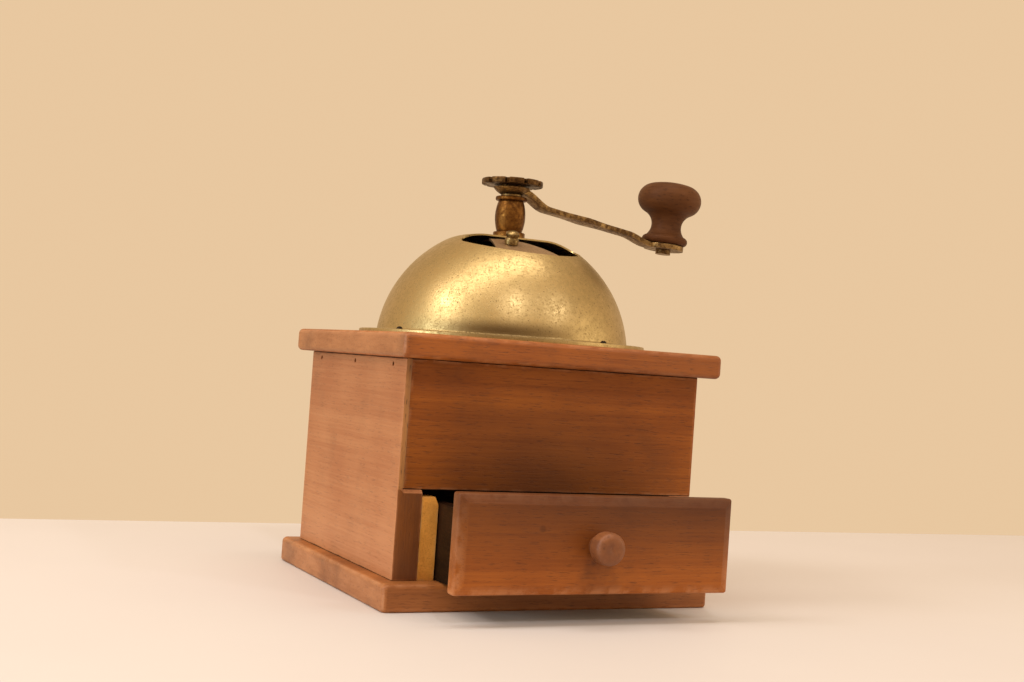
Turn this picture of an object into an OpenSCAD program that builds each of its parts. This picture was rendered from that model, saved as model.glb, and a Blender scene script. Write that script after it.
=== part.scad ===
// Manual coffee grinder: a wooden box with a drawer, a spun brass hopper dome with a turning shutter,
// and a crank that drives a conical burr. The origin is the middle of the base's underside, the front
// faces -Y, and the drawer, shutter and crank stand as they do in use: drawer part open, crank to +X.

/* [Boards] */
// Width of the base board
base_w = 131; // [124:0.5:150]
// Depth of the base board
base_d = 116; // [112:0.5:140]
// Thickness of the base board
base_t = 9.7; // [7:0.1:14]
// Width of the top board
top_w = 129; // [122:0.5:150]
// Depth of the top board
top_d = 118.5; // [114:0.5:140]
// Thickness of the top board
top_t = 8.8; // [7:0.1:14]
// Radius of the boards' rounded edges
board_edge_r = 3; // [1:0.1:3.4]

/* [Box] */
// Width of the box across its side panels
box_w = 120; // [110:0.5:122]
// Depth of the box from front edge to back face
box_d = 102; // [96:0.5:112]
// Height of the side panels
wall_h = 76.5; // [72:0.5:100]
// Thickness of the side panels
side_t = 9.5; // [7:0.1:11]
// Thickness of the front panel
front_t = 7.8; // [5:0.1:9]
// Thickness of the back panel
back_t = 8; // [5:0.1:10]
// Width of the lip that each side panel keeps beside the front panel
lip_w = 2.3; // [1:0.1:4]
// Depth of the front panel's face behind the side panels' front edges
front_recess = 1.2; // [0.4:0.1:2.5]
// Height of the drawer bay under the front panel
bay_h = 32.3; // [30:0.1:34]
// Side of the square cleats under the top board
cleat_s = 8; // [6:0.1:9]
// Distance of the side nails below the box's top edge
nail_drop = 2.4; // [1.6:0.1:4]
// Radius of a nail
nail_r = 0.6; // [0.4:0.05:0.9]
// Radius of a nail's head
nail_head_r = 1.1; // [1:0.05:1.5]

/* [Drawer] */
// Width of the drawer's front
drawer_front_w = 107; // [104:0.5:110]
// How far the drawer's front is nailed on to the right of the middle
drawer_front_shift = 1.4; // [-2:0.1:2]
// Height of the drawer's front
drawer_front_h = 33.6; // [31:0.1:36]
// Thickness of the drawer's front
drawer_front_t = 6; // [5:0.1:12]
// Width of the bevel round the drawer's front
drawer_bevel = 3.4; // [0.5:0.1:4]
// How far the drawer stands open
drawer_pull = 28.5; // [0:0.5:34]
// Length of the drawer's sides behind its front
drawer_len = 88; // [70:0.5:90]
// Height of the drawer's sides
drawer_side_h = 26.5; // [20:0.1:28]
// Thickness of the drawer's sides and back
drawer_side_t = 5; // [3:0.1:8]
// Thickness of the drawer's floor
drawer_floor_t = 3; // [2:0.1:5]
// Depth of the grooves that hold the drawer's floor
floor_groove = 2; // [0.5:0.1:2.5]
// Width of the guide strips beside the drawer
guide_w = 6.3; // [4:0.1:8]
// Height of the guide strips
guide_h = 29; // [24:0.1:30]
// Radius of the drawer knob's head
pull_r = 5.6; // [4:0.1:9]
// How far the drawer knob stands out
pull_len = 10.5; // [7:0.1:14]

/* [Hopper] */
// Radius of the dome where it meets its flange
dome_r = 49.2; // [46:0.1:52]
// Height of the dome's flat crown over its flange
dome_h = 40.2; // [38:0.1:44]
// Thickness of the dome's sheet
dome_t = 0.8; // [0.6:0.05:1.2]
// How far the flat crown lies under the full sphere
crown_drop = 3; // [1.5:0.1:4]
// Radius that blends the crown into the sphere
shoulder_r = 25; // [15:0.5:32]
// Width of the dome's flange
flange_w = 6.8; // [5.6:0.1:7]
// Radius of the half-round mouth in the crown
mouth_r = 24.7; // [22:0.1:26]
// Radius of the mouth's two corners
mouth_corner_r = 3.4; // [0.5:0.1:4]
// Angle from the front to the first flange screw
flange_screw_turn = 19; // [0:1:45]
// Radius of the sphere that the shutter plate is pressed to
shutter_curve_r = 60; // [52:0.5:90]
// Radius of the shutter plate
shutter_r = 32.5; // [32:0.1:32.6]
// Distance of the shutter's straight edge from the shaft
shutter_edge = 9.4; // [8.6:0.1:12]
// Turn of the shutter's knob from the front
shutter_turn = -22; // [-50:1:50]
// Distance of the shutter's knob from the shaft
shutter_knob_at = 20; // [17:0.1:21]
// Radius of the shutter's knob
shutter_knob_r = 2.6; // [1.8:0.1:3]

/* [Pillar] */
// Radius of the pillar's foot
foot_r = 6.3; // [5.6:0.1:7]
// Thickness of the pillar's foot
foot_t = 2.2; // [1.2:0.1:3]
// Height of the pillar's barrel
barrel_h = 12.4; // [8:0.1:18]
// Radius of the barrel at its middle
barrel_r = 6; // [5.2:0.1:7]
// Radius of the barrel at its ends
barrel_end_r = 4.9; // [4.6:0.1:5.1]
// Radius of the pillar's collar
collar_r = 6.2; // [5.4:0.1:7]
// Thickness of the pillar's collar
collar_t = 1.6; // [1:0.1:3]

/* [Crank] */
// Distance from the shaft to the crank knob's pin
crank_r = 72; // [64:0.5:84]
// Thickness of the crank's strip
arm_t = 1.9; // [1.4:0.1:2.6]
// Width of the strip's narrow stretches
arm_w = 6.8; // [5:0.1:8]
// Width of the strip's swelling
arm_swell_w = 10.8; // [8:0.1:13]
// Radius of the crank's eye
eye_r = 7.4; // [6.6:0.1:8]
// Thickness of the crank's eye
eye_t = 2.8; // [2:0.1:4]
// Drop of the crank from its eye to the knob's pad
arm_drop = 15.2; // [10:0.1:16]
// Radius of the pad under the knob
pad_r = 8.2; // [6:0.1:9]
// Outward tilt of the pad and the knob
pad_tilt = 4; // [0:0.5:8]
// Height of the crank knob
knob_h = 26; // [23:0.1:30]
// Largest radius of the crank knob's head
knob_r = 13.2; // [12:0.1:15]
// Radius of the crank knob's neck
knob_neck_r = 6.2; // [5.6:0.1:7]
// Radius of the crank knob's foot
knob_foot_r = 9.5; // [8.6:0.1:10.4]
// Radius of the pin that the knob spins on
pin_r = 2.2; // [1.6:0.1:2.6]
// Radius of the notched adjusting wheel
wheel_r = 12.1; // [10:0.1:14]
// Thickness of the adjusting wheel
wheel_t = 2.2; // [1.4:0.1:3]
// Number of notches round the adjusting wheel
wheel_notches = 10; // [6:1:16]
// Width of a notch
notch_w = 1.4; // [0.8:0.1:2.4]
// Depth of a notch
notch_d = 1.9; // [1:0.1:3]

/* [Burrs] */
// Radius of the grinding shaft
shaft_r = 3; // [2.6:0.05:3.2]
// Width across the flats at the shaft's upper end
shaft_flats = 4.6; // [4:0.1:5]
// Radius of the throat in the top board
throat_r = 23; // [22.4:0.1:24]
// Thickness of the dish's sheet
dish_t = 0.6; // [0.4:0.05:1]
// Height of the dish's rim over the top board
dish_h = 8; // [5:0.1:11]
// Largest radius of the inner burr
burr_r = 15.6; // [14.6:0.1:16]
// Height of the inner burr
burr_h = 18; // [14:0.1:19]
// Gap between the burrs
burr_gap = 0.8; // [0.5:0.05:1.2]
// Number of fine teeth round each burr
burr_teeth = 16; // [10:1:20]
// Outer radius of the outer burr
ring_r = 20; // [19.5:0.1:20.5]
// Height of the outer burr
ring_h = 20; // [19.2:0.1:24]
// Thickness of the burr housing's wall
housing_wall = 2.5; // [1.5:0.1:3]
// Thickness of the burr housing's flange
housing_flange_t = 4; // [3:0.1:5]
// Width of the burr housing's flange outside the throat
housing_flange_w = 10.5; // [10:0.1:12]
// Thickness of the bridge strap
strap_t = 2.5; // [1.6:0.1:3]
// Width of the bridge strap
strap_w = 12; // [10:0.1:16]

/* [Hidden] */
$fn = 96;
eps = 0.05;
// Clearances: glued or driven pieces, running fits, sliding pieces and parts that pass each other
fit = 0.05;
run = 0.1;
slip = 0.3;
pass = 0.5;
// How far blended arcs are let into each other
blend = 0.02;

// Heights, from the underside of the base upwards
bay_top = base_t + bay_h;
box_top = base_t + wall_h;
board_top = box_top + top_t;
flange_top = board_top + dome_t;
crown_top = flange_top + dome_h;
crown_under = crown_top - dome_t;
foot_top = crown_top + foot_t;
barrel_top = foot_top + barrel_h;
pillar_top = barrel_top + collar_t;
washer_t = 0.8;
washer_r = collar_r - 2;
eye_low = pillar_top + washer_t + run;
eye_high = eye_low + eye_t;
boss_t = 0.6;
wheel_low = eye_high + run;
wheel_high = wheel_low + boss_t + wheel_t;
shaft_top = wheel_high + 0.9;

// Box
front_y = -box_d / 2;
panel_back_y = front_y + front_recess + front_t;
back_in_y = box_d / 2 - back_t;
side_in = box_w / 2 - side_t;
cleat_mid_y = (panel_back_y + back_in_y) / 2;
nail_span = 39;
nail_len = side_t + cleat_s / 2;
nail_sink = 0.5;
nail_head_t = 0.5;
nail_z = box_top - nail_drop;
base_screw_y = 32;
base_screw_r = 1.5;
base_screw_head_r = 3;
base_screw_bite = 9;
base_screw_sink = 0.4;
base_screw_cone = 2;
base_screw_slot = 0.8;

// Drawer
drawer_back_y = front_y - slip - drawer_pull;
drawer_low = base_t + slip;
drawer_front_low = base_t + 0.7;
drawer_half = side_in - guide_w - pass;
drawer_end_y = drawer_back_y + drawer_len;
floor_low = drawer_low + 2.2;
drawer_bevel_d = 1.2;
pull_z = drawer_front_low + drawer_front_h / 2;
pull_neck_r = pull_r * 0.62;
pull_neck_len = pull_len * 0.28;
pull_dowel_r = pull_r * 0.45;
pull_round_r = pull_len * 0.22;

// Dome: the sphere through the flange and the full crown, cut flat and blended
sphere_h = dome_h + crown_drop;
sphere_r = (dome_r * dome_r + sphere_h * sphere_h) / (2 * sphere_h);
sphere_z = flange_top + sphere_h - sphere_r;
crown_flat_r = sqrt(crown_drop * (2 * (sphere_r - shoulder_r) - crown_drop));
shoulder_z = crown_top - shoulder_r;
shoulder_turn = atan2(crown_flat_r, shoulder_z - sphere_z);
flange_r = dome_r + flange_w;
flange_screw_at = dome_r + 0.5 + flange_w / 2;
flange_screw_r = 1.4;
flange_screw_head_r = 2;
flange_screw_bite = 6;
mouth_back = foot_r + pass;

// Shutter and what holds it to the crown
spigot_r = shaft_r + 1.2;
shutter_t = 0.8;
shutter_high = crown_under - slip;
shutter_wide = spigot_r + 3;
spring_r = spigot_r + 2.8;
spring_t = 0.6;
spring_drop = shutter_curve_r - sqrt(pow(shutter_curve_r, 2) - pow(shutter_wide, 2));
spring_high = shutter_high - shutter_t - spring_drop - run;
nut_t = 3;
nut_r = spigot_r + 2.6;
nut_low = spring_high - spring_t - nut_t;
spigot_low = nut_low - 0.8;
shutter_edge_turn = 82;
shutter_knob_h = 5.4;
shutter_knob_stem_r = shutter_knob_r * 0.5;

// Burr set, hung under the top board
dish_shoulder = 3.4;
dish_spigot = 5.5;
dish_rim_z = board_top + dish_h;
dish_rim_r = sqrt(pow(sphere_r - dome_t, 2) - pow(dish_rim_z - sphere_z, 2)) - slip;
housing_flange_r = throat_r + housing_flange_w;
housing_flange_low = box_top - housing_flange_t;
ring_drop = 12;
ring_top = box_top - ring_drop;
ring_low = ring_top - ring_h;
ring_mouth_r = ring_r - 2.4;
cone_low = ring_top + 0.6;
burr_low = ring_low + 0.6;
skirt_h = burr_h / 3;
skirt_r = burr_r - 1;
groove_r = burr_r * 0.058;
tooth_lean = 18;
burr_tip_r = shaft_r + 3.4;
burr_pin_r = 1;
burr_pin_z = burr_low + burr_h * 0.61;
burr_pin_len = 2 * (burr_tip_r + 1);
housing_screw_at = throat_r + housing_flange_w - 3;
housing_screw_r = 1.4;
housing_screw_head_r = 2.4;
housing_screw_bite = 6.5;
strap_in = throat_r + 1.8;
strap_out = housing_flange_r + 0.2;
strap_drop = 7;
strap_low = ring_low - strap_drop;
bush_r = shaft_r + 1.6;
bush_collar_r = shaft_r + 2.8;
bush_collar_t = 1.2;
bush_low = strap_low - 1.2;
shaft_low = bush_low - 1;
flats_low = pillar_top - 2;

// Crank: the strip drops from under its bowl-shaped eye, runs out on a slope and flattens to the pad
eye_mid = eye_low + eye_t / 2;
eye_seat_r = washer_r + 0.2;
eye_rise = eye_t * 0.9;
eye_lift = (eye_r * eye_r - eye_seat_r * eye_seat_r - eye_rise * eye_rise) / (2 * eye_rise);
eye_bowl_r = sqrt(eye_r * eye_r + eye_lift * eye_lift);
pad_mid = eye_mid - arm_drop;
arm_bend_from = washer_r;
arm_bend_to = 2.16 * eye_r;
arm_bend_z = eye_mid - arm_drop * 0.376;
pad_from = crank_r - pad_r + 0.4;
pad_from_z = pad_mid + (crank_r - pad_from) * tan(pad_tilt);
arm_flat_from = pad_from - 1.34 * pad_r;
arm_slope = 0.15;
arm_flat_z = arm_bend_z - arm_slope * (arm_flat_from - arm_bend_to);
arm_end = crank_r + pad_r + 1;
swell_at = eye_r + (crank_r - eye_r) * 0.4;
swell_len = arm_swell_w * 0.83;
pad_top = pad_mid + arm_t / 2 / cos(pad_tilt);

// Crank knob, measured along its own axis from its foot
knob_gap = slip;
foot_bead_r = 1.8;
head_side_r = 6.2;
head_crown = 0.9;
head_side_x = knob_r - head_side_r;
head_rise = head_side_r + head_crown;
head_side_h = knob_h - head_rise;
head_top_r = (pow(head_side_x, 2) + pow(head_rise, 2) - pow(head_side_r, 2))
    / (2 * head_crown);
head_top_h = knob_h - head_top_r;
cove_r = 6;
cove_x = knob_neck_r + cove_r;
cove_h = head_side_h - sqrt(pow(cove_r + head_side_r, 2) - pow(cove_x - head_side_x, 2));
cove_share = cove_r / (cove_r + head_side_r);
cove_top_x = cove_x + (head_side_x - cove_x) * cove_share;
cove_top_h = cove_h + (head_side_h - cove_h) * cove_share;
bead_x = knob_foot_r - foot_bead_r;
pin_head_r = pin_r + 1.4;
pin_head_t = 1.6;
pin_seat = knob_h * 0.62;
pin_tail_r = pin_r + 0.9;
pin_tail_t = 1.8;
plug_r = pin_head_r + 0.6;

// What is cut from a square corner to round it: the corner is at the origin and points to sx, sy
module corner_cut(r, sx, sy) {
    difference() {
        translate([sx > 0 ? -r : -eps, sy > 0 ? -r : -eps]) square(r + eps);
        translate([-sx * r, -sy * r]) circle(r);
    }
}

// Section of a board, with its upper and lower corners rounded
module board_section(w, t, r_low, r_high) {
    difference() {
        translate([-w / 2, 0]) square([w, t]);
        for (s = [-1, 1]) {
            translate([s * w / 2, t]) corner_cut(r_high, s, 1);
            translate([s * w / 2, 0]) corner_cut(r_low, s, -1);
        }
    }
}

// Board with all its edges rounded, on the height z
module board(w, d, t, r_low, r_high, z) {
    translate([0, 0, z]) intersection() {
        translate([0, d / 2, 0]) rotate([90, 0, 0]) linear_extrude(d) board_section(w, t, r_low, r_high);
        translate([-w / 2, 0, 0]) rotate([90, 0, 90]) linear_extrude(w) board_section(d, t, r_low, r_high);
    }
}

// Tube or washer between two radii
module ring(r_out, r_in, z_low, z_high) {
    translate([0, 0, z_low]) difference() {
        cylinder(r = r_out, h = z_high - z_low);
        translate([0, 0, -1]) cylinder(r = r_in, h = z_high - z_low + 2);
    }
}

// Places at the four quarter turns of a screw circle, the first one turned from the front towards +X
module quarter_turns(radius, turn) {
    for (a = [0 : 90 : 270]) rotate(turn + a) translate([0, -radius, 0]) children();
}

// Round-headed slotted screw that points down from its seat at the origin
module round_screw(shank_r, shank_len, head_r) {
    head_t = head_r * 0.6;
    crown_r = head_r * 1.336;
    slot_w = head_r * 0.3;
    translate([0, 0, -shank_len]) cylinder(r = shank_r, h = shank_len);
    difference() {
        rotate_extrude() intersection() {
            square([head_r, head_t]);
            translate([0, head_t - crown_r]) circle(crown_r);
        }
        translate([-head_r, -slot_w / 2, head_t * 0.5]) cube([2 * head_r, slot_w, head_t]);
    }
}

module at_base_screws() {
    for (sx = [-1, 1], sy = [-1, 1])
        translate([sx * (box_w / 2 - side_t / 2), sy * base_screw_y, 0]) children();
}

module at_side_nails() {
    for (s = [-1, 1], y = [-nail_span, 0, nail_span])
        translate([s * box_w / 2, cleat_mid_y + y, nail_z]) rotate([0, -s * 90, 0]) children();
}

// On the shutter plate's upper face, square to it
module at_shutter_knob() {
    rotate(shutter_turn) translate([0, 0, shutter_high - shutter_curve_r])
        rotate([asin(shutter_knob_at / shutter_curve_r), 0, 0])
            translate([0, 0, shutter_curve_r]) children();
}

module at_knob_axis() {
    translate([crank_r, 0, pad_top]) rotate([0, pad_tilt, 0]) children();
}

// Wooden box

module base_board() {
    color("#8a4a29") difference() {
        board(base_w, base_d, base_t, board_edge_r / 2, board_edge_r, 0);
        at_base_screws() {
            translate([0, 0, -1]) cylinder(r = base_screw_r + fit, h = base_t + 2);
            translate([0, 0, -1]) cylinder(r = base_screw_head_r + fit, h = base_screw_sink + 1);
            translate([0, 0, base_screw_sink])
                cylinder(r1 = base_screw_head_r + fit, r2 = base_screw_r + fit, h = base_screw_cone);
        }
    }
}

module base_screws() {
    color("#77706a") at_base_screws() {
        difference() {
            translate([0, 0, base_screw_sink])
                cylinder(r1 = base_screw_head_r - fit, r2 = base_screw_r, h = base_screw_cone);
            translate([-base_screw_head_r, -base_screw_slot / 2, 0])
                cube([2 * base_screw_head_r, base_screw_slot, base_screw_sink + base_screw_cone / 3]);
        }
        translate([0, 0, base_screw_sink + base_screw_cone / 2])
            cylinder(r = base_screw_r, h = base_t + base_screw_bite - base_screw_sink - base_screw_cone / 2);
    }
}

// Left side panel: a rebate takes the front panel, and its ledge is bevelled
module side_panel() {
    difference() {
        translate([-box_w / 2, front_y, base_t]) cube([side_t, box_d, wall_h]);
        translate([-box_w / 2 + lip_w, front_y - 1, bay_top])
            cube([side_t, front_recess + front_t + 1 + fit, wall_h]);
        translate([-box_w / 2 + lip_w, 0, 0]) rotate([90, 0, 90]) linear_extrude(side_t)
            polygon([[front_y - eps, bay_top + eps], [front_y - eps, bay_top - front_recess],
                [front_y + front_recess, bay_top + eps]]);
        at_side_nails() {
            translate([0, 0, -1]) cylinder(r = nail_r + fit, h = nail_len + 1);
            translate([0, 0, -1]) cylinder(r = nail_head_r + fit, h = 1 + nail_sink + nail_head_t);
        }
        at_base_screws() cylinder(r = base_screw_r + fit, h = base_t + base_screw_bite + fit);
    }
}

module left_side_panel() {
    color("#a05c36") side_panel();
}

module right_side_panel() {
    color("#a05c36") mirror([1, 0, 0]) side_panel();
}

module front_panel() {
    color("#83461f") translate([-box_w / 2 + lip_w + fit, front_y + front_recess, bay_top])
        cube([box_w - 2 * lip_w - 2 * fit, front_t, wall_h - bay_h]);
}

module back_panel() {
    color("#8a4a29") translate([-side_in, back_in_y, base_t]) cube([2 * side_in, back_t, wall_h]);
}

// Left guide strip, with its upper inner edge worn to a bevel
module drawer_guide() {
    wear = guide_w * 0.22;
    translate([-side_in, back_in_y, base_t]) rotate([90, 0, 0])
        linear_extrude(back_in_y - front_y - pass)
            polygon([[0, 0], [guide_w, 0], [guide_w, guide_h - 2 * wear], [guide_w - wear, guide_h],
                [0, guide_h]]);
}

module left_drawer_guide() {
    color("#b9803f") drawer_guide();
}

module right_drawer_guide() {
    color("#b9803f") mirror([1, 0, 0]) drawer_guide();
}

module top_cleat() {
    difference() {
        translate([-side_in, panel_back_y + pass, box_top - cleat_s])
            cube([cleat_s, back_in_y - panel_back_y - 2 * pass, cleat_s]);
        at_side_nails() cylinder(r = nail_r + fit, h = nail_len + fit);
    }
}

module left_top_cleat() {
    color("#b9803f") top_cleat();
}

module right_top_cleat() {
    color("#b9803f") mirror([1, 0, 0]) top_cleat();
}

module side_nails() {
    color("#4a4038") at_side_nails() {
        translate([0, 0, nail_sink]) cylinder(r = nail_head_r, h = nail_head_t);
        translate([0, 0, nail_sink]) cylinder(r = nail_r, h = nail_len - nail_sink);
    }
}

module top_board() {
    color("#a35a30") difference() {
        board(top_w, top_d, top_t, board_edge_r, board_edge_r, box_top);
        translate([0, 0, box_top - 1]) cylinder(r = throat_r, h = top_t + 2);
        translate([0, 0, board_top]) quarter_turns(flange_screw_at, flange_screw_turn)
            translate([0, 0, -flange_screw_bite])
                cylinder(r = flange_screw_r + fit, h = flange_screw_bite + 1);
        quarter_turns(housing_screw_at, 0)
            translate([0, 0, box_top - 1]) cylinder(r = housing_screw_r + fit, h = housing_screw_bite + 1);
    }
}

// Hopper: dome, dish, mouth and shutter

// Half section of the dome's solid, set in by the sheet's thickness for its inner face
module dome_section(inset) {
    r = sphere_r - inset;
    flat = crown_flat_r + blend;
    intersection() {
        translate([0, sphere_z]) circle(r, $fn = 180);
        union() {
            translate([0, sphere_z - r]) square([2 * r, r + r * cos(shoulder_turn)]);
            translate([0, sphere_z]) square([flat, crown_top - inset - sphere_z]);
            translate([flat, shoulder_z]) circle(shoulder_r - inset, $fn = 180);
        }
        translate([0, sphere_z - r]) square([2 * r, 2 * r]);
    }
}

// Half-round mouth seen from above: its straight side passes in front of the pillar's foot
module mouth_outline() {
    half = sqrt(pow(mouth_r - mouth_corner_r, 2) - pow(mouth_corner_r, 2));
    turn = asin(mouth_corner_r / (mouth_r - mouth_corner_r));
    reach = 2 * mouth_corner_r;
    translate([0, -mouth_back]) difference() {
        intersection() {
            circle(mouth_r);
            translate([-mouth_r, -mouth_r]) square([2 * mouth_r, mouth_r]);
        }
        for (s = [0, 1]) mirror([s, 0]) translate([half, -mouth_corner_r]) difference() {
            polygon([[0, 0], [reach * cos(turn), -reach * sin(turn)], [reach, reach], [0, reach]]);
            circle(mouth_corner_r + blend);
        }
    }
}

module dome() {
    color("#b8954a") difference() {
        rotate_extrude($fn = 180) difference() {
            union() {
                dome_section(0);
                translate([0, board_top]) square([flange_r, dome_t]);
            }
            dome_section(dome_t);
            translate([0, sphere_z - sphere_r]) square([flange_r + 1, board_top - sphere_z + sphere_r]);
        }
        translate([0, 0, crown_under - 1]) cylinder(r = spigot_r + fit, h = dome_t + 2);
        translate([0, 0, crown_top - dome_h / 2]) linear_extrude(dome_h) mouth_outline();
        quarter_turns(flange_screw_at, flange_screw_turn)
            translate([0, 0, board_top - 1]) cylinder(r = flange_screw_r + fit, h = dome_t + 2);
    }
}

module flange_screws() {
    color("#4c4136") translate([0, 0, flange_top]) quarter_turns(flange_screw_at, flange_screw_turn)
        round_screw(flange_screw_r, dome_t + flange_screw_bite - 0.4, flange_screw_head_r);
}

module hopper_dish() {
    spigot = throat_r - fit;
    color("#8d8a80") rotate_extrude() {
        translate([spigot - dish_t, board_top - dish_spigot]) square([dish_t, dish_spigot + dish_t]);
        translate([spigot - dish_t, board_top]) square([dish_shoulder + dish_t, dish_t]);
        polygon([[spigot + dish_shoulder - dish_t, board_top], [spigot + dish_shoulder, board_top],
            [dish_rim_r, dish_rim_z - dish_t], [dish_rim_r, dish_rim_z],
            [spigot + dish_shoulder - dish_t, board_top + dish_t]]);
    }
}

// Pressed plate under the crown: part of a thin sphere, with one straight edge beside its knob
module shutter_plate() {
    bore_r = spigot_r + fit;
    color("#a68a5a") difference() {
        rotate_extrude() intersection() {
            translate([0, shutter_high - shutter_curve_r]) difference() {
                circle(shutter_curve_r, $fn = 180);
                circle(shutter_curve_r - shutter_t, $fn = 180);
            }
            translate([bore_r, shutter_high - shutter_r]) square([shutter_r - bore_r, shutter_r]);
        }
        rotate(shutter_turn - shutter_edge_turn)
            translate([-shutter_r, -shutter_edge - shutter_r, crown_under - shutter_r])
                cube([2 * shutter_r, shutter_r, 2 * shutter_r]);
        at_shutter_knob() translate([0, 0, -2]) cylinder(r = shutter_knob_stem_r + fit, h = 4);
    }
}

// Turned brass knob with a waist, riveted through the shutter plate
module shutter_knob() {
    waist_r = shutter_knob_r * 0.82;
    groove_r = shutter_knob_h * 0.14;
    crown_r = shutter_knob_r * 1.4;
    tail = shutter_t + 0.8;
    color("#c2a05a") at_shutter_knob() rotate_extrude($fn = 48) {
        translate([0, fit]) difference() {
            intersection() {
                square([shutter_knob_r, shutter_knob_h]);
                translate([0, shutter_knob_h - crown_r]) circle(crown_r);
            }
            translate([waist_r + groove_r, shutter_knob_h * 0.5]) circle(groove_r);
        }
        translate([0, -tail]) square([shutter_knob_stem_r, tail + 2 * fit]);
    }
}

module spring_washer() {
    color("#8d8a80") ring(spring_r, spigot_r + fit, spring_high - spring_t, spring_high);
}

module pillar_nut() {
    color("#8f6f3a") difference() {
        translate([0, 0, nut_low]) cylinder(r = nut_r, h = nut_t, $fn = 6);
        translate([0, 0, nut_low - 1]) cylinder(r = spigot_r + fit, h = nut_t + 2);
    }
}

// Turned column: spigot, foot, barrel and collar, bored for the shaft
module bearing_pillar() {
    bulge = barrel_r - barrel_end_r;
    bulge_r = (pow(barrel_h / 2, 2) + bulge * bulge) / (2 * bulge);
    color("#7d5f30") difference() {
        rotate_extrude() {
            translate([0, spigot_low]) square([spigot_r, crown_top - spigot_low + eps]);
            translate([0, crown_top]) square([foot_r, foot_t]);
            intersection() {
                translate([0, foot_top - eps]) square([barrel_r, barrel_h + 2 * eps]);
                translate([barrel_r - bulge_r, foot_top + barrel_h / 2]) circle(bulge_r, $fn = 180);
            }
            translate([0, barrel_top]) square([collar_r, collar_t]);
        }
        translate([0, 0, spigot_low - 1]) cylinder(r = shaft_r + fit, h = pillar_top - spigot_low + 2);
    }
}

module thrust_washer() {
    color("#6b5430") ring(washer_r, shaft_r + fit, pillar_top, pillar_top + washer_t);
}

// Burr set

module burr_housing() {
    color("#4d4b48") difference() {
        rotate_extrude() polygon([[throat_r - 1, box_top], [housing_flange_r, box_top],
            [housing_flange_r, housing_flange_low], [throat_r + 1, housing_flange_low],
            [ring_r + housing_wall, ring_top], [ring_r + housing_wall, ring_low + 1],
            [ring_r + fit, ring_low + 1], [ring_r + fit, cone_low], [ring_mouth_r, cone_low]]);
        quarter_turns(housing_screw_at, 0)
            translate([0, 0, housing_flange_low - 1])
                cylinder(r = housing_screw_r + fit, h = housing_flange_t + 2);
    }
}

// Slanted tooth grooves round a burr's skirt
module tooth_grooves(at, lean) {
    for (i = [0 : burr_teeth - 1])
        rotate(i * 360 / burr_teeth) translate([at, 0, burr_low + skirt_h / 2])
            rotate([lean, -atan2(burr_r - skirt_r, skirt_h), 0])
                cylinder(r = groove_r, h = 2 * skirt_h, center = true, $fn = 24);
}

module outer_burr() {
    color("#55534f") difference() {
        rotate_extrude() polygon([[burr_r + burr_gap, ring_low], [ring_r, ring_low], [ring_r, ring_top],
            [ring_mouth_r, ring_top], [skirt_r + burr_gap, burr_low + skirt_h]]);
        tooth_grooves((burr_r + skirt_r) / 2 + burr_gap - groove_r / 9, -tooth_lean);
    }
}

// Inner cone: fine skirt teeth below, wide breaker flutes above, bored for the shaft and its pin
module inner_burr() {
    flutes = 4;
    flute_r = burr_r * 0.19;
    flute_lean = 26;
    flute_at = (skirt_r + burr_tip_r) / 2 + flute_r * 0.62;
    slope = atan2(skirt_r - burr_tip_r, burr_h - skirt_h);
    color("#5f5d58") difference() {
        rotate_extrude() polygon([[0, burr_low], [burr_r, burr_low], [skirt_r, burr_low + skirt_h],
            [burr_tip_r, burr_low + burr_h], [0, burr_low + burr_h]]);
        tooth_grooves((burr_r + skirt_r) / 2 + groove_r / 9, tooth_lean);
        for (i = [0 : flutes - 1])
            rotate(i * 360 / flutes + 45)
                translate([flute_at, 0, burr_low + (skirt_h + burr_h) / 2]) rotate([flute_lean, -slope, 0])
                    cylinder(r = flute_r, h = 2 * burr_h, center = true, $fn = 32);
        translate([0, 0, burr_low - 1]) cylinder(r = shaft_r + fit, h = burr_h + 2);
        translate([0, 0, burr_pin_z]) rotate([0, 90, 0])
            cylinder(r = burr_pin_r + fit, h = 4 * burr_r, center = true, $fn = 32);
    }
}

module burr_pin() {
    color("#8d8a80") translate([0, 0, burr_pin_z]) rotate([0, 90, 0])
        cylinder(r = burr_pin_r, h = burr_pin_len, center = true, $fn = 32);
}

// Shaft with two flats at its upper end, which drive it from the crank's eye
module grinding_shaft() {
    color("#77736c") difference() {
        translate([0, 0, shaft_low]) cylinder(r = shaft_r, h = shaft_top - shaft_low);
        for (s = [-1, 1]) translate([s * shaft_r, 0, (flats_low + shaft_top + 1) / 2])
            cube([2 * shaft_r - shaft_flats, 4 * shaft_r, shaft_top + 1 - flats_low], center = true);
        translate([0, 0, burr_pin_z]) rotate([0, 90, 0])
            cylinder(r = burr_pin_r + fit, h = 4 * shaft_r, center = true, $fn = 32);
    }
}

// Bent strap under the housing that carries the shaft's lower bearing
module bearing_bridge() {
    foot_low = housing_flange_low - strap_t;
    leg = strap_in + strap_t;
    color("#5a5650") difference() {
        translate([0, strap_w / 2, 0]) rotate([90, 0, 0]) linear_extrude(strap_w)
            polygon([[-strap_out, foot_low], [-leg, foot_low], [-leg, strap_low], [leg, strap_low],
                [leg, foot_low], [strap_out, foot_low], [strap_out, housing_flange_low],
                [strap_in, housing_flange_low], [strap_in, strap_low + strap_t],
                [-strap_in, strap_low + strap_t], [-strap_in, housing_flange_low],
                [-strap_out, housing_flange_low]]);
        translate([0, 0, strap_low - 1]) cylinder(r = bush_r + fit, h = strap_t + 2);
        for (s = [-1, 1]) translate([s * housing_screw_at, 0, foot_low - 1])
            cylinder(r = housing_screw_r + fit, h = strap_t + 2);
    }
}

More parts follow.
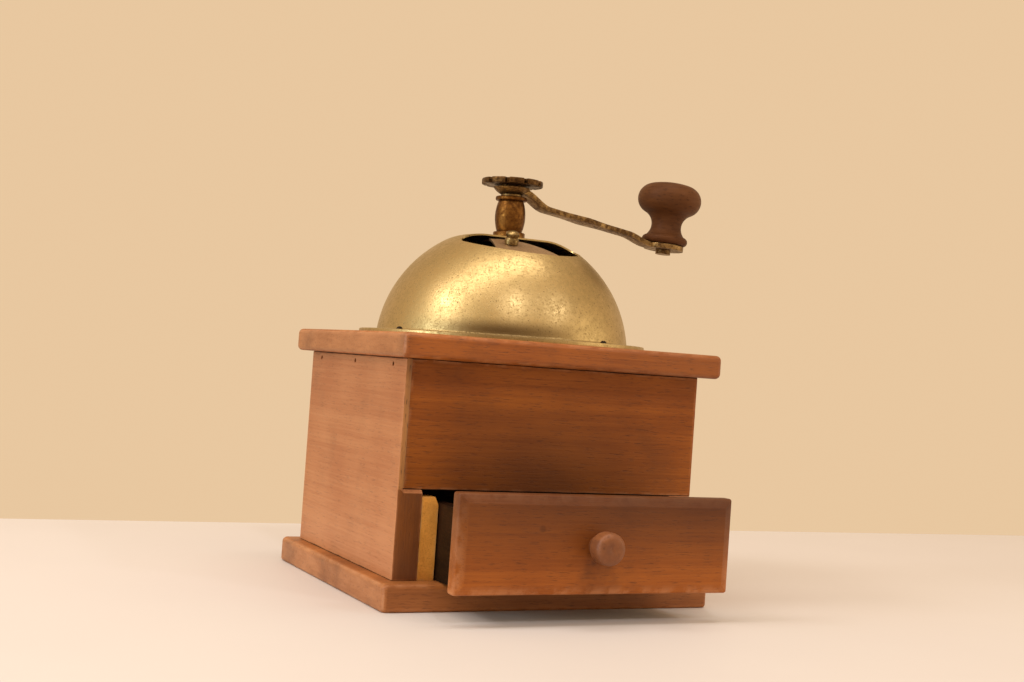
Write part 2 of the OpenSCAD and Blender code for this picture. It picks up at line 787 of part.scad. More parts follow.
module bridge_bush() {
    color("#a88747") {
        ring(bush_r, shaft_r + fit, bush_low, strap_low + strap_t + bush_collar_t);
        ring(bush_collar_r, shaft_r + fit, strap_low + strap_t + fit, strap_low + strap_t + bush_collar_t);
    }
}

// Four screws from below: two through the housing's flange alone, two through the bridge's feet as well
module housing_screws() {
    color("#77706a") for (a = [0 : 90 : 270]) {
        through = a % 180 == 0 ? 0 : strap_t;
        rotate(a) translate([0, -housing_screw_at, housing_flange_low - through]) mirror([0, 0, 1])
            round_screw(housing_screw_r, through + housing_flange_t + housing_screw_bite - pass,
                housing_screw_head_r);
    }
}

// Crank

// Cubic curve between two heights with given slopes
function curve(t, z0, m0, z1, m1, len) =
    (2 * t * t * t - 3 * t * t + 1) * z0 + (t * t * t - 2 * t * t + t) * len * m0
    + (3 * t * t - 2 * t * t * t) * z1 + (t * t * t - t * t) * len * m1;

// Height of the strip's middle at a distance from the shaft
function arm_z(x) =
    x < arm_bend_from ? eye_mid :
    x < arm_bend_to ? curve((x - arm_bend_from) / (arm_bend_to - arm_bend_from), eye_mid, 0,
        arm_bend_z, -arm_slope, arm_bend_to - arm_bend_from) :
    x < arm_flat_from ? arm_bend_z - arm_slope * (x - arm_bend_to) :
    x < pad_from ? curve((x - arm_flat_from) / (pad_from - arm_flat_from), arm_flat_z, -arm_slope,
        pad_from_z, -tan(pad_tilt), pad_from - arm_flat_from) :
    pad_mid - (x - crank_r) * tan(pad_tilt);

// Thickness of the strip, heavier at the eye
function arm_thick(x) =
    x < arm_bend_from ? eye_t :
    x < arm_bend_to ? eye_t + (arm_t - eye_t) * (x - arm_bend_from) / (arm_bend_to - arm_bend_from) : arm_t;

module arm_side() {
    bend = arm_bend_to - arm_bend_from;
    flat = pad_from - arm_flat_from;
    xs = concat([-1], [for (i = [0 : 8]) arm_bend_from + bend * i / 8],
        [for (i = [0 : 6]) arm_flat_from + flat * i / 6], [arm_end]);
    last = len(xs) - 1;
    polygon(concat([for (x = xs) [x, arm_z(x) + arm_thick(x) / 2]],
        [for (i = [last : -1 : 0]) [xs[i], arm_z(xs[i]) - arm_thick(xs[i]) / 2]]));
}

// Strip seen from above: root, lozenge swelling and round pad
module arm_plan() {
    w = arm_w / 2;
    swell = arm_swell_w / 2;
    polygon([[0, -w - 0.8], [swell_at - swell_len, -w], [swell_at, -swell], [swell_at + swell_len, -w],
        [crank_r, -w], [crank_r, w], [swell_at + swell_len, w], [swell_at, swell],
        [swell_at - swell_len, w], [0, w + 0.8]]);
    translate([crank_r, 0]) circle(pad_r);
}

module crank_arm() {
    color("#7a6238") difference() {
        union() {
            intersection() {
                translate([0, 2 * pad_r, 0]) rotate([90, 0, 0]) linear_extrude(4 * pad_r) arm_side();
                translate([0, 0, pad_mid - arm_drop]) linear_extrude(3 * arm_drop) arm_plan();
            }
            rotate_extrude() intersection() {
                translate([0, eye_low]) square([eye_r, eye_t]);
                translate([0, eye_low + eye_rise + eye_lift]) circle(eye_bowl_r);
            }
        }
        intersection() {
            translate([0, 0, eye_low - 1]) cylinder(r = shaft_r + fit, h = eye_t + 2);
            translate([0, 0, eye_mid]) cube([shaft_flats + 2 * fit, 4 * shaft_r, 2 * eye_t], center = true);
        }
        at_knob_axis() translate([0, 0, -arm_t - 2]) cylinder(r = pin_r + fit, h = arm_t + 4);
    }
}

// Pin through the pad: its tail is hammered over below, its head turns inside the knob
module knob_pin() {
    color("#8f7440") at_knob_axis() rotate_extrude($fn = 48) {
        translate([0, -arm_t - pin_tail_t - fit]) square([pin_tail_r, pin_tail_t]);
        translate([0, -arm_t - pin_tail_t])
            square([pin_r, arm_t + pin_tail_t + knob_gap + pin_seat + run + eps]);
        translate([0, knob_gap + pin_seat + run]) square([pin_head_r, pin_head_t]);
    }
}

// Turned half section of the knob: top arc, rounded side, cove and foot bead run into each other
module knob_section() {
    intersection() {
        translate([0, head_top_h - blend]) circle(head_top_r, $fn = 180);
        union() {
            translate([head_side_x, head_side_h]) circle(head_side_r);
            translate([0, head_side_h - head_side_r]) square([head_side_x, knob_h]);
        }
        square([2 * knob_r, knob_h]);
    }
    difference() {
        union() {
            translate([0, cove_h]) square([cove_top_x, cove_top_h - cove_h]);
            translate([0, foot_bead_r]) square([bead_x + foot_bead_r / 2, cove_h - foot_bead_r]);
        }
        translate([cove_x, cove_h]) circle(cove_r + blend);
    }
    translate([bead_x, foot_bead_r]) circle(foot_bead_r);
    square([bead_x, 2 * foot_bead_r]);
}

module crank_knob() {
    color("#5d4031") at_knob_axis() translate([0, 0, knob_gap]) difference() {
        rotate_extrude() knob_section();
        translate([0, 0, -1]) cylinder(r = pin_r + fit, h = knob_h);
        translate([0, 0, pin_seat]) cylinder(r = plug_r, h = knob_h);
    }
}

module knob_plug() {
    color("#5d4031") at_knob_axis() translate([0, 0, knob_gap]) intersection() {
        rotate_extrude() knob_section();
        translate([0, 0, pin_seat + run + pin_head_t + pass]) cylinder(r = plug_r - fit, h = knob_h);
    }
}

module adjusting_wheel() {
    color("#7a6238") difference() {
        translate([0, 0, wheel_low]) union() {
            cylinder(r = shaft_r + 2, h = boss_t + eps);
            translate([0, 0, boss_t]) cylinder(r = wheel_r, h = wheel_t);
        }
        for (i = [0 : wheel_notches - 1])
            rotate((i + 0.5) * 360 / wheel_notches)
                translate([wheel_r - notch_d, -notch_w / 2, wheel_low + boss_t - 1])
                    cube([2 * notch_d, notch_w, wheel_t + 2]);
        translate([0, 0, wheel_low - 1]) cylinder(r = shaft_r + fit, h = boss_t + wheel_t + 2);
    }
}

// Drawer

// Bevelled front: two bevelled bars crossed, bored for the knob's dowel
module drawer_front() {
    bevel = drawer_bevel;
    face = drawer_front_t;
    color("#84472a") difference() {
        translate([drawer_front_shift, drawer_back_y, drawer_front_low]) intersection() {
            linear_extrude(drawer_front_h) polygon([[-drawer_front_w / 2, 0],
                [-drawer_front_w / 2, -face + drawer_bevel_d], [-drawer_front_w / 2 + bevel, -face],
                [drawer_front_w / 2 - bevel, -face], [drawer_front_w / 2, -face + drawer_bevel_d],
                [drawer_front_w / 2, 0]]);
            translate([-drawer_front_w / 2 - 1, 0, 0]) rotate([90, 0, 90]) linear_extrude(drawer_front_w + 2)
                polygon([[0, 0], [-face + drawer_bevel_d, 0], [-face, bevel],
                    [-face, drawer_front_h - bevel], [-face + drawer_bevel_d, drawer_front_h],
                    [0, drawer_front_h]]);
        }
        translate([0, drawer_back_y + 1, pull_z]) rotate([90, 0, 0])
            cylinder(r = pull_dowel_r + fit, h = drawer_front_t + 2);
    }
}

// Left side of the drawer, grooved for the floor
module drawer_side() {
    difference() {
        translate([-drawer_half, drawer_back_y, drawer_low])
            cube([drawer_side_t, drawer_len, drawer_side_h]);
        translate([-drawer_half + drawer_side_t - floor_groove - fit, drawer_back_y - 1, floor_low - fit])
            cube([drawer_side_t, drawer_len - drawer_side_t + 1, drawer_floor_t + 2 * fit]);
    }
}

module drawer_left_side() {
    color("#a9743f") drawer_side();
}

module drawer_right_side() {
    color("#a9743f") mirror([1, 0, 0]) drawer_side();
}

module drawer_back() {
    inner = drawer_half - drawer_side_t;
    color("#a9743f") translate([-inner, drawer_end_y - drawer_side_t, drawer_low])
        cube([2 * inner, drawer_side_t, drawer_side_h]);
}

module drawer_bottom() {
    reach = drawer_half - drawer_side_t + floor_groove;
    color("#b9864c") translate([-reach, drawer_back_y, floor_low])
        cube([2 * reach, drawer_len - drawer_side_t, drawer_floor_t]);
}

// Turned knob with a dowel through the drawer's front
module drawer_knob() {
    head_len = pull_len - pull_neck_len;
    color("#7a452c") translate([0, drawer_back_y - drawer_front_t, pull_z]) rotate([90, 0, 0])
        rotate_extrude($fn = 64) {
            translate([0, -drawer_front_t]) square([pull_dowel_r, drawer_front_t + eps]);
            square([pull_neck_r, pull_neck_len + eps]);
            translate([0, pull_neck_len]) difference() {
                square([pull_r, head_len]);
                translate([pull_r, head_len]) corner_cut(pull_round_r, 1, 1);
                translate([pull_r, 0]) corner_cut(pull_round_r, 1, -1);
            }
        }
}

base_board();
left_side_panel();
right_side_panel();
front_panel();
back_panel();
left_drawer_guide();
right_drawer_guide();
left_top_cleat();
right_top_cleat();
top_board();
side_nails();
base_screws();
hopper_dish();
dome();
flange_screws();
bearing_pillar();
spring_washer();
pillar_nut();
thrust_washer();
burr_housing();
outer_burr();
bearing_bridge();
bridge_bush();
housing_screws();
shutter_plate();
shutter_knob();
crank_arm();
knob_pin();
adjusting_wheel();
grinding_shaft();
inner_burr();
burr_pin();
crank_knob();
knob_plug();
drawer_front();
drawer_left_side();
drawer_right_side();
drawer_back();
drawer_bottom();
drawer_knob();
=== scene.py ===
import math

import bmesh
import bpy
from mathutils import Matrix, Vector


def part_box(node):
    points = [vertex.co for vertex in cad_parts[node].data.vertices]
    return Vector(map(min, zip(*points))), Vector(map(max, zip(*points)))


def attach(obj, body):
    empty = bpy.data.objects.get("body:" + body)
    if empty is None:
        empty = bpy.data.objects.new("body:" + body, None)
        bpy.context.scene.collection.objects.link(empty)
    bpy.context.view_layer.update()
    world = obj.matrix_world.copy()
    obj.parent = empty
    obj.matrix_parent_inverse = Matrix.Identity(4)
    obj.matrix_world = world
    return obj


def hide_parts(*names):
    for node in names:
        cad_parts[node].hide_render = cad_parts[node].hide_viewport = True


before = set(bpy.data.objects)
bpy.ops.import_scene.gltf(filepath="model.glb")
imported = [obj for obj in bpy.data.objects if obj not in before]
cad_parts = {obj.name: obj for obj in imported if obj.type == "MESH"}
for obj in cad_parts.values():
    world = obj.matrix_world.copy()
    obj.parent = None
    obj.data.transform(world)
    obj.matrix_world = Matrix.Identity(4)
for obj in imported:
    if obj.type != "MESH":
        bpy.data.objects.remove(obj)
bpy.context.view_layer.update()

# Base board and top board.
# Two pieces of red-brown stained hardwood with their edges rounded over by hand. The grain runs from
# side to side, the ends show end grain, and years of handling have rubbed the stain thin.
mm = 0.001
hair = 0.001 * mm


def start_group(name, inputs, outputs):
    group = bpy.data.node_groups.new(name, "ShaderNodeTree")
    for label, kind, value in inputs:
        socket = group.interface.new_socket(name=label, in_out="INPUT", socket_type=kind)
        if value is not None:
            socket.default_value = value
    for label, kind in outputs:
        group.interface.new_socket(name=label, in_out="OUTPUT", socket_type=kind)
    return group, group.nodes.new("NodeGroupInput"), group.nodes.new("NodeGroupOutput")


def put(tree, kind, feeds, **settings):
    node = tree.nodes.new(kind)
    for key, value in settings.items():
        setattr(node, key, value)
    for key, feed in feeds.items():
        if isinstance(feed, bpy.types.NodeSocket):
            tree.links.new(feed, node.inputs[key])
        else:
            node.inputs[key].default_value = feed
    return node


def use(tree, group, feeds):
    return put(tree, "ShaderNodeGroup", feeds, node_tree=group)


def reckon(tree, how, *values):
    return put(tree, "ShaderNodeMath", dict(enumerate(values)), operation=how).outputs[0]


def reckon_vectors(tree, how, *values):
    return put(tree, "ShaderNodeVectorMath", dict(enumerate(values)), operation=how).outputs[0]


def noise(tree, place, scale, detail, rough=0.5, distortion=0.0):
    feeds = {"Vector": place, "Scale": scale, "Detail": detail, "Roughness": rough, "Distortion": distortion}
    return put(tree, "ShaderNodeTexNoise", feeds).outputs[0]


def blend_colours(tree, share, under, over):
    return put(tree, "ShaderNodeMix", {0: share, 6: under, 7: over}, data_type="RGBA").outputs[2]


def spread(tree, value, low, high, to_low=0.0, to_high=1.0):
    feeds = {0: value, 1: low, 2: high, 3: to_low, 4: to_high}
    return put(tree, "ShaderNodeMapRange", feeds, interpolation_type="SMOOTHSTEP").outputs[0]


# Wood figure: broad bands, fine fibres and short open pores, all drawn out along the grain
pore_brown = (0.035, 0.014, 0.007, 1)
wood_figure, figure_in, figure_out = start_group(
    "wood_figure",
    [("Place", "NodeSocketVector", None), ("Draw", "NodeSocketVector", (22.0, 1300.0, 1300.0)),
     ("Pale", "NodeSocketColor", (0.4, 0.15, 0.06, 1)), ("Deep", "NodeSocketColor", (0.15, 0.05, 0.02, 1)),
     ("Pores", "NodeSocketFloat", 0.5)],
    [("Colour", "NodeSocketColor"), ("Rough", "NodeSocketFloat"), ("Height", "NodeSocketFloat")])
wood_place = figure_in.outputs["Place"]
drawn = reckon_vectors(wood_figure, "MULTIPLY", wood_place, figure_in.outputs["Draw"])
bands = noise(wood_figure, drawn, 0.07, 4.0, 0.6, 0.6)
fibres = noise(wood_figure, drawn, 0.9, 4.0, 0.62, 0.2)
pore_draw = reckon_vectors(wood_figure, "ADD", figure_in.outputs["Draw"], (90.0, 90.0, 90.0))
pores = noise(wood_figure, reckon_vectors(wood_figure, "MULTIPLY", wood_place, pore_draw), 2.2, 2.0, 0.55)
patches = noise(wood_figure, wood_place, 26.0, 2.0)
open_pores = spread(wood_figure, pores, 0.56, 0.72)
half_tone = reckon(wood_figure, "MULTIPLY_ADD", fibres, 0.55, bands)
full_tone = reckon(wood_figure, "MULTIPLY_ADD", patches, 0.8, half_tone)
tone = spread(wood_figure, full_tone, 0.85, 1.5)
grain_colour = blend_colours(wood_figure, tone, figure_in.outputs["Deep"], figure_in.outputs["Pale"])
pore_share = reckon(wood_figure, "MULTIPLY", open_pores, figure_in.outputs["Pores"])
pored = blend_colours(wood_figure, pore_share, grain_colour, pore_brown)
wood_figure.links.new(pored, figure_out.inputs["Colour"])
wood_figure.links.new(spread(wood_figure, tone, 0.0, 1.0, 0.52, 0.4), figure_out.inputs["Rough"])
wood_figure.links.new(reckon(wood_figure, "SUBTRACT", fibres, open_pores), figure_out.inputs["Height"])

# Rubbed arrises: how near a point lies to the edges of a block, broken up by noise
rubbed_arris, arris_in, arris_out = start_group(
    "rubbed_arris",
    [("Place", "NodeSocketVector", None), ("Middle", "NodeSocketVector", None),
     ("Half", "NodeSocketVector", None), ("Reach", "NodeSocketFloat", 0.003)],
    [("Mask", "NodeSocketFloat")])
from_middle = reckon_vectors(rubbed_arris, "SUBTRACT", arris_in.outputs["Place"], arris_in.outputs["Middle"])
folded = reckon_vectors(rubbed_arris, "ABSOLUTE", from_middle)
inward = reckon_vectors(rubbed_arris, "SUBTRACT", folded, arris_in.outputs["Half"])
in_x, in_y, in_z = put(rubbed_arris, "ShaderNodeSeparateXYZ", {0: inward}).outputs
low_pair = reckon(rubbed_arris, "MINIMUM", in_x, in_y)
high_pair = reckon(rubbed_arris, "MAXIMUM", in_x, in_y)
with_third = reckon(rubbed_arris, "MINIMUM", high_pair, in_z)
to_arris = reckon(rubbed_arris, "MAXIMUM", low_pair, with_third)
in_reach = reckon(rubbed_arris, "DIVIDE", to_arris, arris_in.outputs["Reach"])
near = spread(rubbed_arris, in_reach, -1.0, 0.0)
gappy = spread(rubbed_arris, noise(rubbed_arris, arris_in.outputs["Place"], 160.0, 4.0, 0.65), 0.38, 0.62)
rubbed_arris.links.new(reckon(rubbed_arris, "MULTIPLY", near, gappy), arris_out.inputs["Mask"])

# Hand grime: slow dark clouds with a few small dents in them
hand_grime, grime_in, grime_out = start_group(
    "hand_grime", [("Place", "NodeSocketVector", None)],
    [("Mask", "NodeSocketFloat"), ("Dents", "NodeSocketFloat")])
clouds = noise(hand_grime, grime_in.outputs["Place"], 38.0, 5.0, 0.6)
hand_grime.links.new(spread(hand_grime, clouds, 0.5, 0.78), grime_out.inputs["Mask"])
pits = put(hand_grime, "ShaderNodeTexVoronoi", {"Vector": grime_in.outputs["Place"], "Scale": 95.0})
pit_seeds = put(hand_grime, "ShaderNodeSeparateColor", {0: pits.outputs["Color"]}).outputs[0]
pit_spots = spread(hand_grime, pits.outputs["Distance"], 0.16, 0.06)
few_pits = reckon(hand_grime, "MULTIPLY", spread(hand_grime, pit_seeds, 0.84, 0.9), pit_spots)
hand_grime.links.new(few_pits, grime_out.inputs["Dents"])

# Joint dirt and painted shade: a thin dark line of uneven width along the lower and upper ends of a panel,
# for grime and for the shade in the joint's gap
joint_dirt_and_shade, joint_in, joint_out = start_group(
    "joint_dirt_and_shade",
    [("Place", "NodeSocketVector", None), ("Low", "NodeSocketFloat", 0.0), ("High", "NodeSocketFloat", 0.1),
     ("Reach", "NodeSocketFloat", 0.001)],
    [("Mask", "NodeSocketFloat")])
level = put(joint_dirt_and_shade, "ShaderNodeSeparateXYZ", {0: joint_in.outputs["Place"]}).outputs[2]
over_low = reckon(joint_dirt_and_shade, "SUBTRACT", level, joint_in.outputs["Low"])
under_high = reckon(joint_dirt_and_shade, "SUBTRACT", joint_in.outputs["High"], level)
to_joint = reckon(joint_dirt_and_shade, "MINIMUM", over_low, under_high)
uneven = noise(joint_dirt_and_shade, joint_in.outputs["Place"], 130.0, 3.0)
line_wide = reckon(joint_dirt_and_shade, "MULTIPLY", uneven, joint_in.outputs["Reach"])
in_line = reckon(joint_dirt_and_shade, "DIVIDE", to_joint, line_wide)
joint_dirt_and_shade.links.new(spread(joint_dirt_and_shade, in_line, 2.0, 0.7), joint_out.inputs["Mask"])

# Soil and painted shade: a soft dark ellipsoid round a given middle, used for handling dirt, for painted
# shade and for a painted dark reflection
soil_and_shade_area, soil_shade_in, soil_shade_out = start_group(
    "soil_and_shade_area",
    [("Place", "NodeSocketVector", None), ("Middle", "NodeSocketVector", None),
     ("Radii", "NodeSocketVector", (0.1, 0.1, 0.1)), ("Share", "NodeSocketFloat", 0.5)],
    [("Mask", "NodeSocketFloat")])
from_spot = reckon_vectors(soil_and_shade_area, "SUBTRACT", soil_shade_in.outputs["Place"], soil_shade_in.outputs["Middle"])
in_radii = reckon_vectors(soil_and_shade_area, "DIVIDE", from_spot, soil_shade_in.outputs["Radii"])
how_far = put(soil_and_shade_area, "ShaderNodeVectorMath", {0: in_radii}, operation="LENGTH").outputs["Value"]
fading = spread(soil_and_shade_area, how_far, 1.0, 0.0)
soil_shade_share = reckon(soil_and_shade_area, "MULTIPLY", fading, soil_shade_in.outputs["Share"])
soil_and_shade_area.links.new(soil_shade_share, soil_shade_out.inputs["Mask"])


def soil_and_shade_mask(tree, place, soil_and_shade):
    middle, radii, share = soil_and_shade
    feeds = {"Place": place, "Middle": middle, "Radii": radii, "Share": share}
    return use(tree, soil_and_shade_area, feeds).outputs["Mask"]


# How far the figure is stretched each way, and each stain's pale, deep and rubbed tones
along_x = (22.0, 1300.0, 1300.0)
along_y = (1300.0, 22.0, 1300.0)
end_grain = (700.0, 160.0, 700.0)
rubbed_red = (0.50, 0.22, 0.095, 1)
red_stain = ((0.43, 0.158, 0.043, 1), (0.25, 0.08, 0.019, 1), rubbed_red)
top_stain = ((0.40, 0.121, 0.018, 1), (0.217, 0.056, 0.008, 1), rubbed_red)
top_end_stain = ((0.385, 0.157, 0.058, 1), (0.245, 0.089, 0.03, 1), (0.47, 0.22, 0.106, 1))
end_stain = ((0.44, 0.18, 0.066, 1), (0.28, 0.102, 0.034, 1), (0.52, 0.25, 0.12, 1))
grime_brown = (0.075, 0.026, 0.011, 1)
dent_brown = (0.05, 0.018, 0.009, 1)
# Dark brown for both real soiling and painted shade
soil_and_shade_brown = (0.045, 0.015, 0.007, 1)
joint_brown = (0.02, 0.008, 0.004, 1)
dent_strength = 0.35
rub_strength = 0.6
rub_dulling = 0.2
wood_relief = 0.28
wood_relief_deep = 0.25 * mm


def stained_wood(name, node, stain, draw, rub, pore=0.3, grime=0.5, joint=None, soil_and_shade=None, sheen=0.32,
                 box=None):
    pale, deep, rubbed = stain
    low, high = map(Vector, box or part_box(node))
    wood = bpy.data.materials.new(name)
    wood.use_nodes = True
    tree = wood.node_tree
    shader = tree.nodes["Principled BSDF"]
    shader.inputs["Specular IOR Level"].default_value = sheen
    place = put(tree, "ShaderNodeTexCoord", {}).outputs["Object"]
    figure = use(tree, wood_figure, {"Place": place, "Draw": draw, "Pale": pale, "Deep": deep, "Pores": pore})
    edge_feeds = {"Place": place, "Middle": (low + high) / 2, "Half": (high - low) / 2, "Reach": rub}
    edge = use(tree, rubbed_arris, edge_feeds)
    dirt = use(tree, hand_grime, {"Place": place})
    dirt_share = reckon(tree, "MULTIPLY", dirt.outputs["Mask"], grime)
    dirty = blend_colours(tree, dirt_share, figure.outputs["Colour"], grime_brown)
    dent_share = reckon(tree, "MULTIPLY", dirt.outputs["Dents"], dent_strength)
    dented = blend_colours(tree, dent_share, dirty, dent_brown)
    edge_share = reckon(tree, "MULTIPLY", edge.outputs["Mask"], rub_strength)
    worn = blend_colours(tree, edge_share, dented, rubbed)
    # Soft dark patch round a given spot: handling dirt on some boards, painted shade on others
    if soil_and_shade:
        worn = blend_colours(tree, soil_and_shade_mask(tree, place, soil_and_shade), worn, soil_and_shade_brown)
    if joint:
        line = use(tree, joint_dirt_and_shade, {"Place": place, "Low": low.z, "High": high.z, "Reach": joint})
        worn = blend_colours(tree, line.outputs["Mask"], worn, joint_brown)
    tree.links.new(worn, shader.inputs["Base Color"])
    duller = reckon(tree, "MULTIPLY", edge_share, rub_dulling)
    tree.links.new(reckon(tree, "ADD", figure.outputs["Rough"], duller), shader.inputs["Roughness"])
    relief = reckon(tree, "SUBTRACT", figure.outputs["Height"], dirt.outputs["Dents"])
    bump_feeds = {"Strength": wood_relief, "Distance": wood_relief_deep, "Height": relief}
    tree.links.new(put(tree, "ShaderNodeBump", bump_feeds).outputs[0], shader.inputs["Normal"])
    return wood


def block(low, high):
    low, high = Vector(low), Vector(high)
    bm = bmesh.new()
    bmesh.ops.create_cube(bm, size=1.0)
    bmesh.ops.scale(bm, vec=high - low, verts=bm.verts)
    bmesh.ops.translate(bm, vec=(low + high) / 2, verts=bm.verts)
    return bm


def ease(bm, edges, width, segments):
    bmesh.ops.bevel(bm, geom=list(edges), offset=width, segments=segments, profile=0.5, affect="EDGES",
                    material=-1, clamp_overlap=True)


def sharp_edges(bm, turn=50):
    limit = math.radians(turn)
    return [e for e in bm.edges if len(e.link_faces) == 2 and e.is_convex and e.calc_face_angle() > limit]


def scribe(bm, faces, outline, along):
    inside = list(faces)
    middle = sum(outline, Vector()) / len(outline)
    for start, end in zip(outline, outline[1:] + outline[:1]):
        away = (end - start).cross(along).normalized()
        if away.dot(middle - start) > 0:
            away = -away
        verts = {v for f in inside for v in f.verts}
        edges = {e for f in inside for e in f.edges}
        cut = bmesh.ops.bisect_plane(bm, geom=list(verts) + list(edges) + inside, dist=1e-7, plane_co=start,
                                     plane_no=away)
        now = [g for g in cut["geom"] if isinstance(g, bmesh.types.BMFace)]
        inside = [f for f in now if (f.calc_center_median() - start).dot(away) < 0]
    return inside


def ring_of_points(middle, radius, count, across, up):
    turns = [math.tau * i / count for i in range(count)]
    ways = [math.cos(t) * Vector(across) + math.sin(t) * Vector(up) for t in turns]
    return [Vector(middle) + radius * way for way in ways]


def set_down(name, bm, material, body, nodes, crease, flat_sides=False):
    mesh = bpy.data.meshes.new(name)
    bm.to_mesh(mesh)
    bm.free()
    mesh.polygons.foreach_set("use_smooth", [True] * len(mesh.polygons))
    mesh.set_sharp_from_angle(angle=math.radians(crease))
    mesh.materials.append(material)
    piece = bpy.data.objects.new(name, mesh)
    bpy.context.scene.collection.objects.link(piece)
    if flat_sides:
        weigh = piece.modifiers.new("flat sides", "WEIGHTED_NORMAL")
        weigh.keep_sharp = True
        weigh.weight = 100
    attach(piece, body)
    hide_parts(*nodes)
    return piece


def standing_edges(bm):
    return [e for e in bm.edges if abs(e.verts[0].co.z - e.verts[1].co.z) > 5 * mm]


def mark_ends(bm):
    for face in bm.faces:
        if abs(face.normal.x) > 0.7:
            face.material_index = 1


board_rub = 1.8 * mm
corner_round = 2.0 * mm
plinth_top_round = 1.9 * mm
plinth_foot_round = 1.2 * mm
low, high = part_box("base_board")
bm = block(low, high)
ease(bm, standing_edges(bm), corner_round, 5)
ease(bm, [e for e in bm.edges if all(v.co.z > high[2] - 0.01 * mm for v in e.verts)], plinth_top_round, 5)
ease(bm, [e for e in bm.edges if all(v.co.z < 0.01 * mm for v in e.verts)], plinth_foot_round, 4)
mark_ends(bm)
plinth_wood = stained_wood("plinth_wood", "base_board", red_stain, along_x, board_rub, 0.5)
plinth = set_down("base_plinth", bm, plinth_wood, "mill_body", ["base_board"], 40, True)
plinth.data.materials.append(stained_wood("plinth_ends", "base_board", end_stain, end_grain, board_rub))

top_round = 2.3 * mm
throat_r = 23.0 * mm
throat_steps = 64
low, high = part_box("top_board")
bm = block(low, high)
ease(bm, standing_edges(bm), corner_round, 5)
ease(bm, [e for e in bm.edges if abs(e.verts[0].co.z - e.verts[1].co.z) < hair], top_round, 6)
rims = []
for level, facing in ((high[2], 1), (low[2], -1)):
    bm.faces.ensure_lookup_table()
    skin = [f for f in bm.faces if f.normal.z * facing > 0.99]
    ring = ring_of_points((0, 0, level), throat_r, throat_steps, (1, 0, 0), (0, 1, 0))
    hole = scribe(bm, skin, ring, Vector((0, 0, 1)))
    bmesh.ops.delete(bm, geom=hole, context="FACES")
    rims += [e for e in bm.edges if len(e.link_faces) == 1 and abs(e.verts[0].co.z - level) < hair]
bmesh.ops.bridge_loops(bm, edges=rims)
bmesh.ops.dissolve_degenerate(bm, dist=2 * hair, edges=bm.edges)
bmesh.ops.recalc_face_normals(bm, faces=bm.faces)
mark_ends(bm)
# Painted shade: the top board darkens towards its right front corner, because the light falls from the left
shaded_right_corner = ((high[0], low[1], low[2]), (0.1, 0.06, 0.06), 0.25)
top_wood = stained_wood("top_wood", "top_board", top_stain, along_x, board_rub, 0.55, 0.65,
                        soil_and_shade=shaded_right_corner)
top_plate = set_down("top_plate", bm, top_wood, "mill_body", ["top_board"], 40, True)
top_plate.data.materials.append(stained_wood("top_ends", "top_board", top_end_stain, end_grain, board_rub))

# Side panels.
# Plain boards, rebated along their upper front edge for the front panel. The left one keeps a thin lip in
# view, the right one is cut through. Three nails go into the cleat behind, punched under the surface.
rebate_deep = 9.05 * mm
panel_drop = 1.0 * mm
bay_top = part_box("front_panel")[0][2] - panel_drop
ledge_bevel = 1.2 * mm
side_ease = 0.4 * mm
nail_head_r = 1.1 * mm
nail_hole_r = 0.85 * mm
nail_hole_deep = 0.9 * mm
nail_hole_steps = 14
nail_low, nail_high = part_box("side_nails")
nail_z = (nail_low[2] + nail_high[2]) / 2
nail_ys = (nail_low[1] + nail_head_r, (nail_low[1] + nail_high[1]) / 2, nail_high[1] - nail_head_r)
side_rub = 2.2 * mm
thin_rub = 0.8 * mm
joint_line = 0.5 * mm
upright = (1300.0, 1300.0, 22.0)
side_stain = ((0.47, 0.198, 0.08, 1), (0.355, 0.127, 0.047, 1), rubbed_red)
# Bay edges: dark stain together with painted shade, where the side panels' front edges stand in the bay
# beside the drawer
bay_edge_dirt_and_shade = ((0.225, 0.075, 0.017, 1), (0.135, 0.043, 0.01, 1), rubbed_red)
lip_stain = ((0.40, 0.185, 0.06, 1), (0.13, 0.046, 0.014, 1), rubbed_red)
# Painted shade: nearly black wood for faces inside the case, standing in for the shade there
inside_shade_stain = ((0.035, 0.015, 0.007, 1), (0.016, 0.007, 0.0035, 1), (0.05, 0.02, 0.009, 1))


def saw(bm, point, facing, clear_outer=False):
    bmesh.ops.bisect_plane(bm, geom=bm.verts[:] + bm.edges[:] + bm.faces[:], dist=1e-7, plane_co=point,
                           plane_no=facing, clear_outer=clear_outer)


def nearest(bm, *place):
    return min(bm.verts, key=lambda v: (v.co - Vector(place)).length)


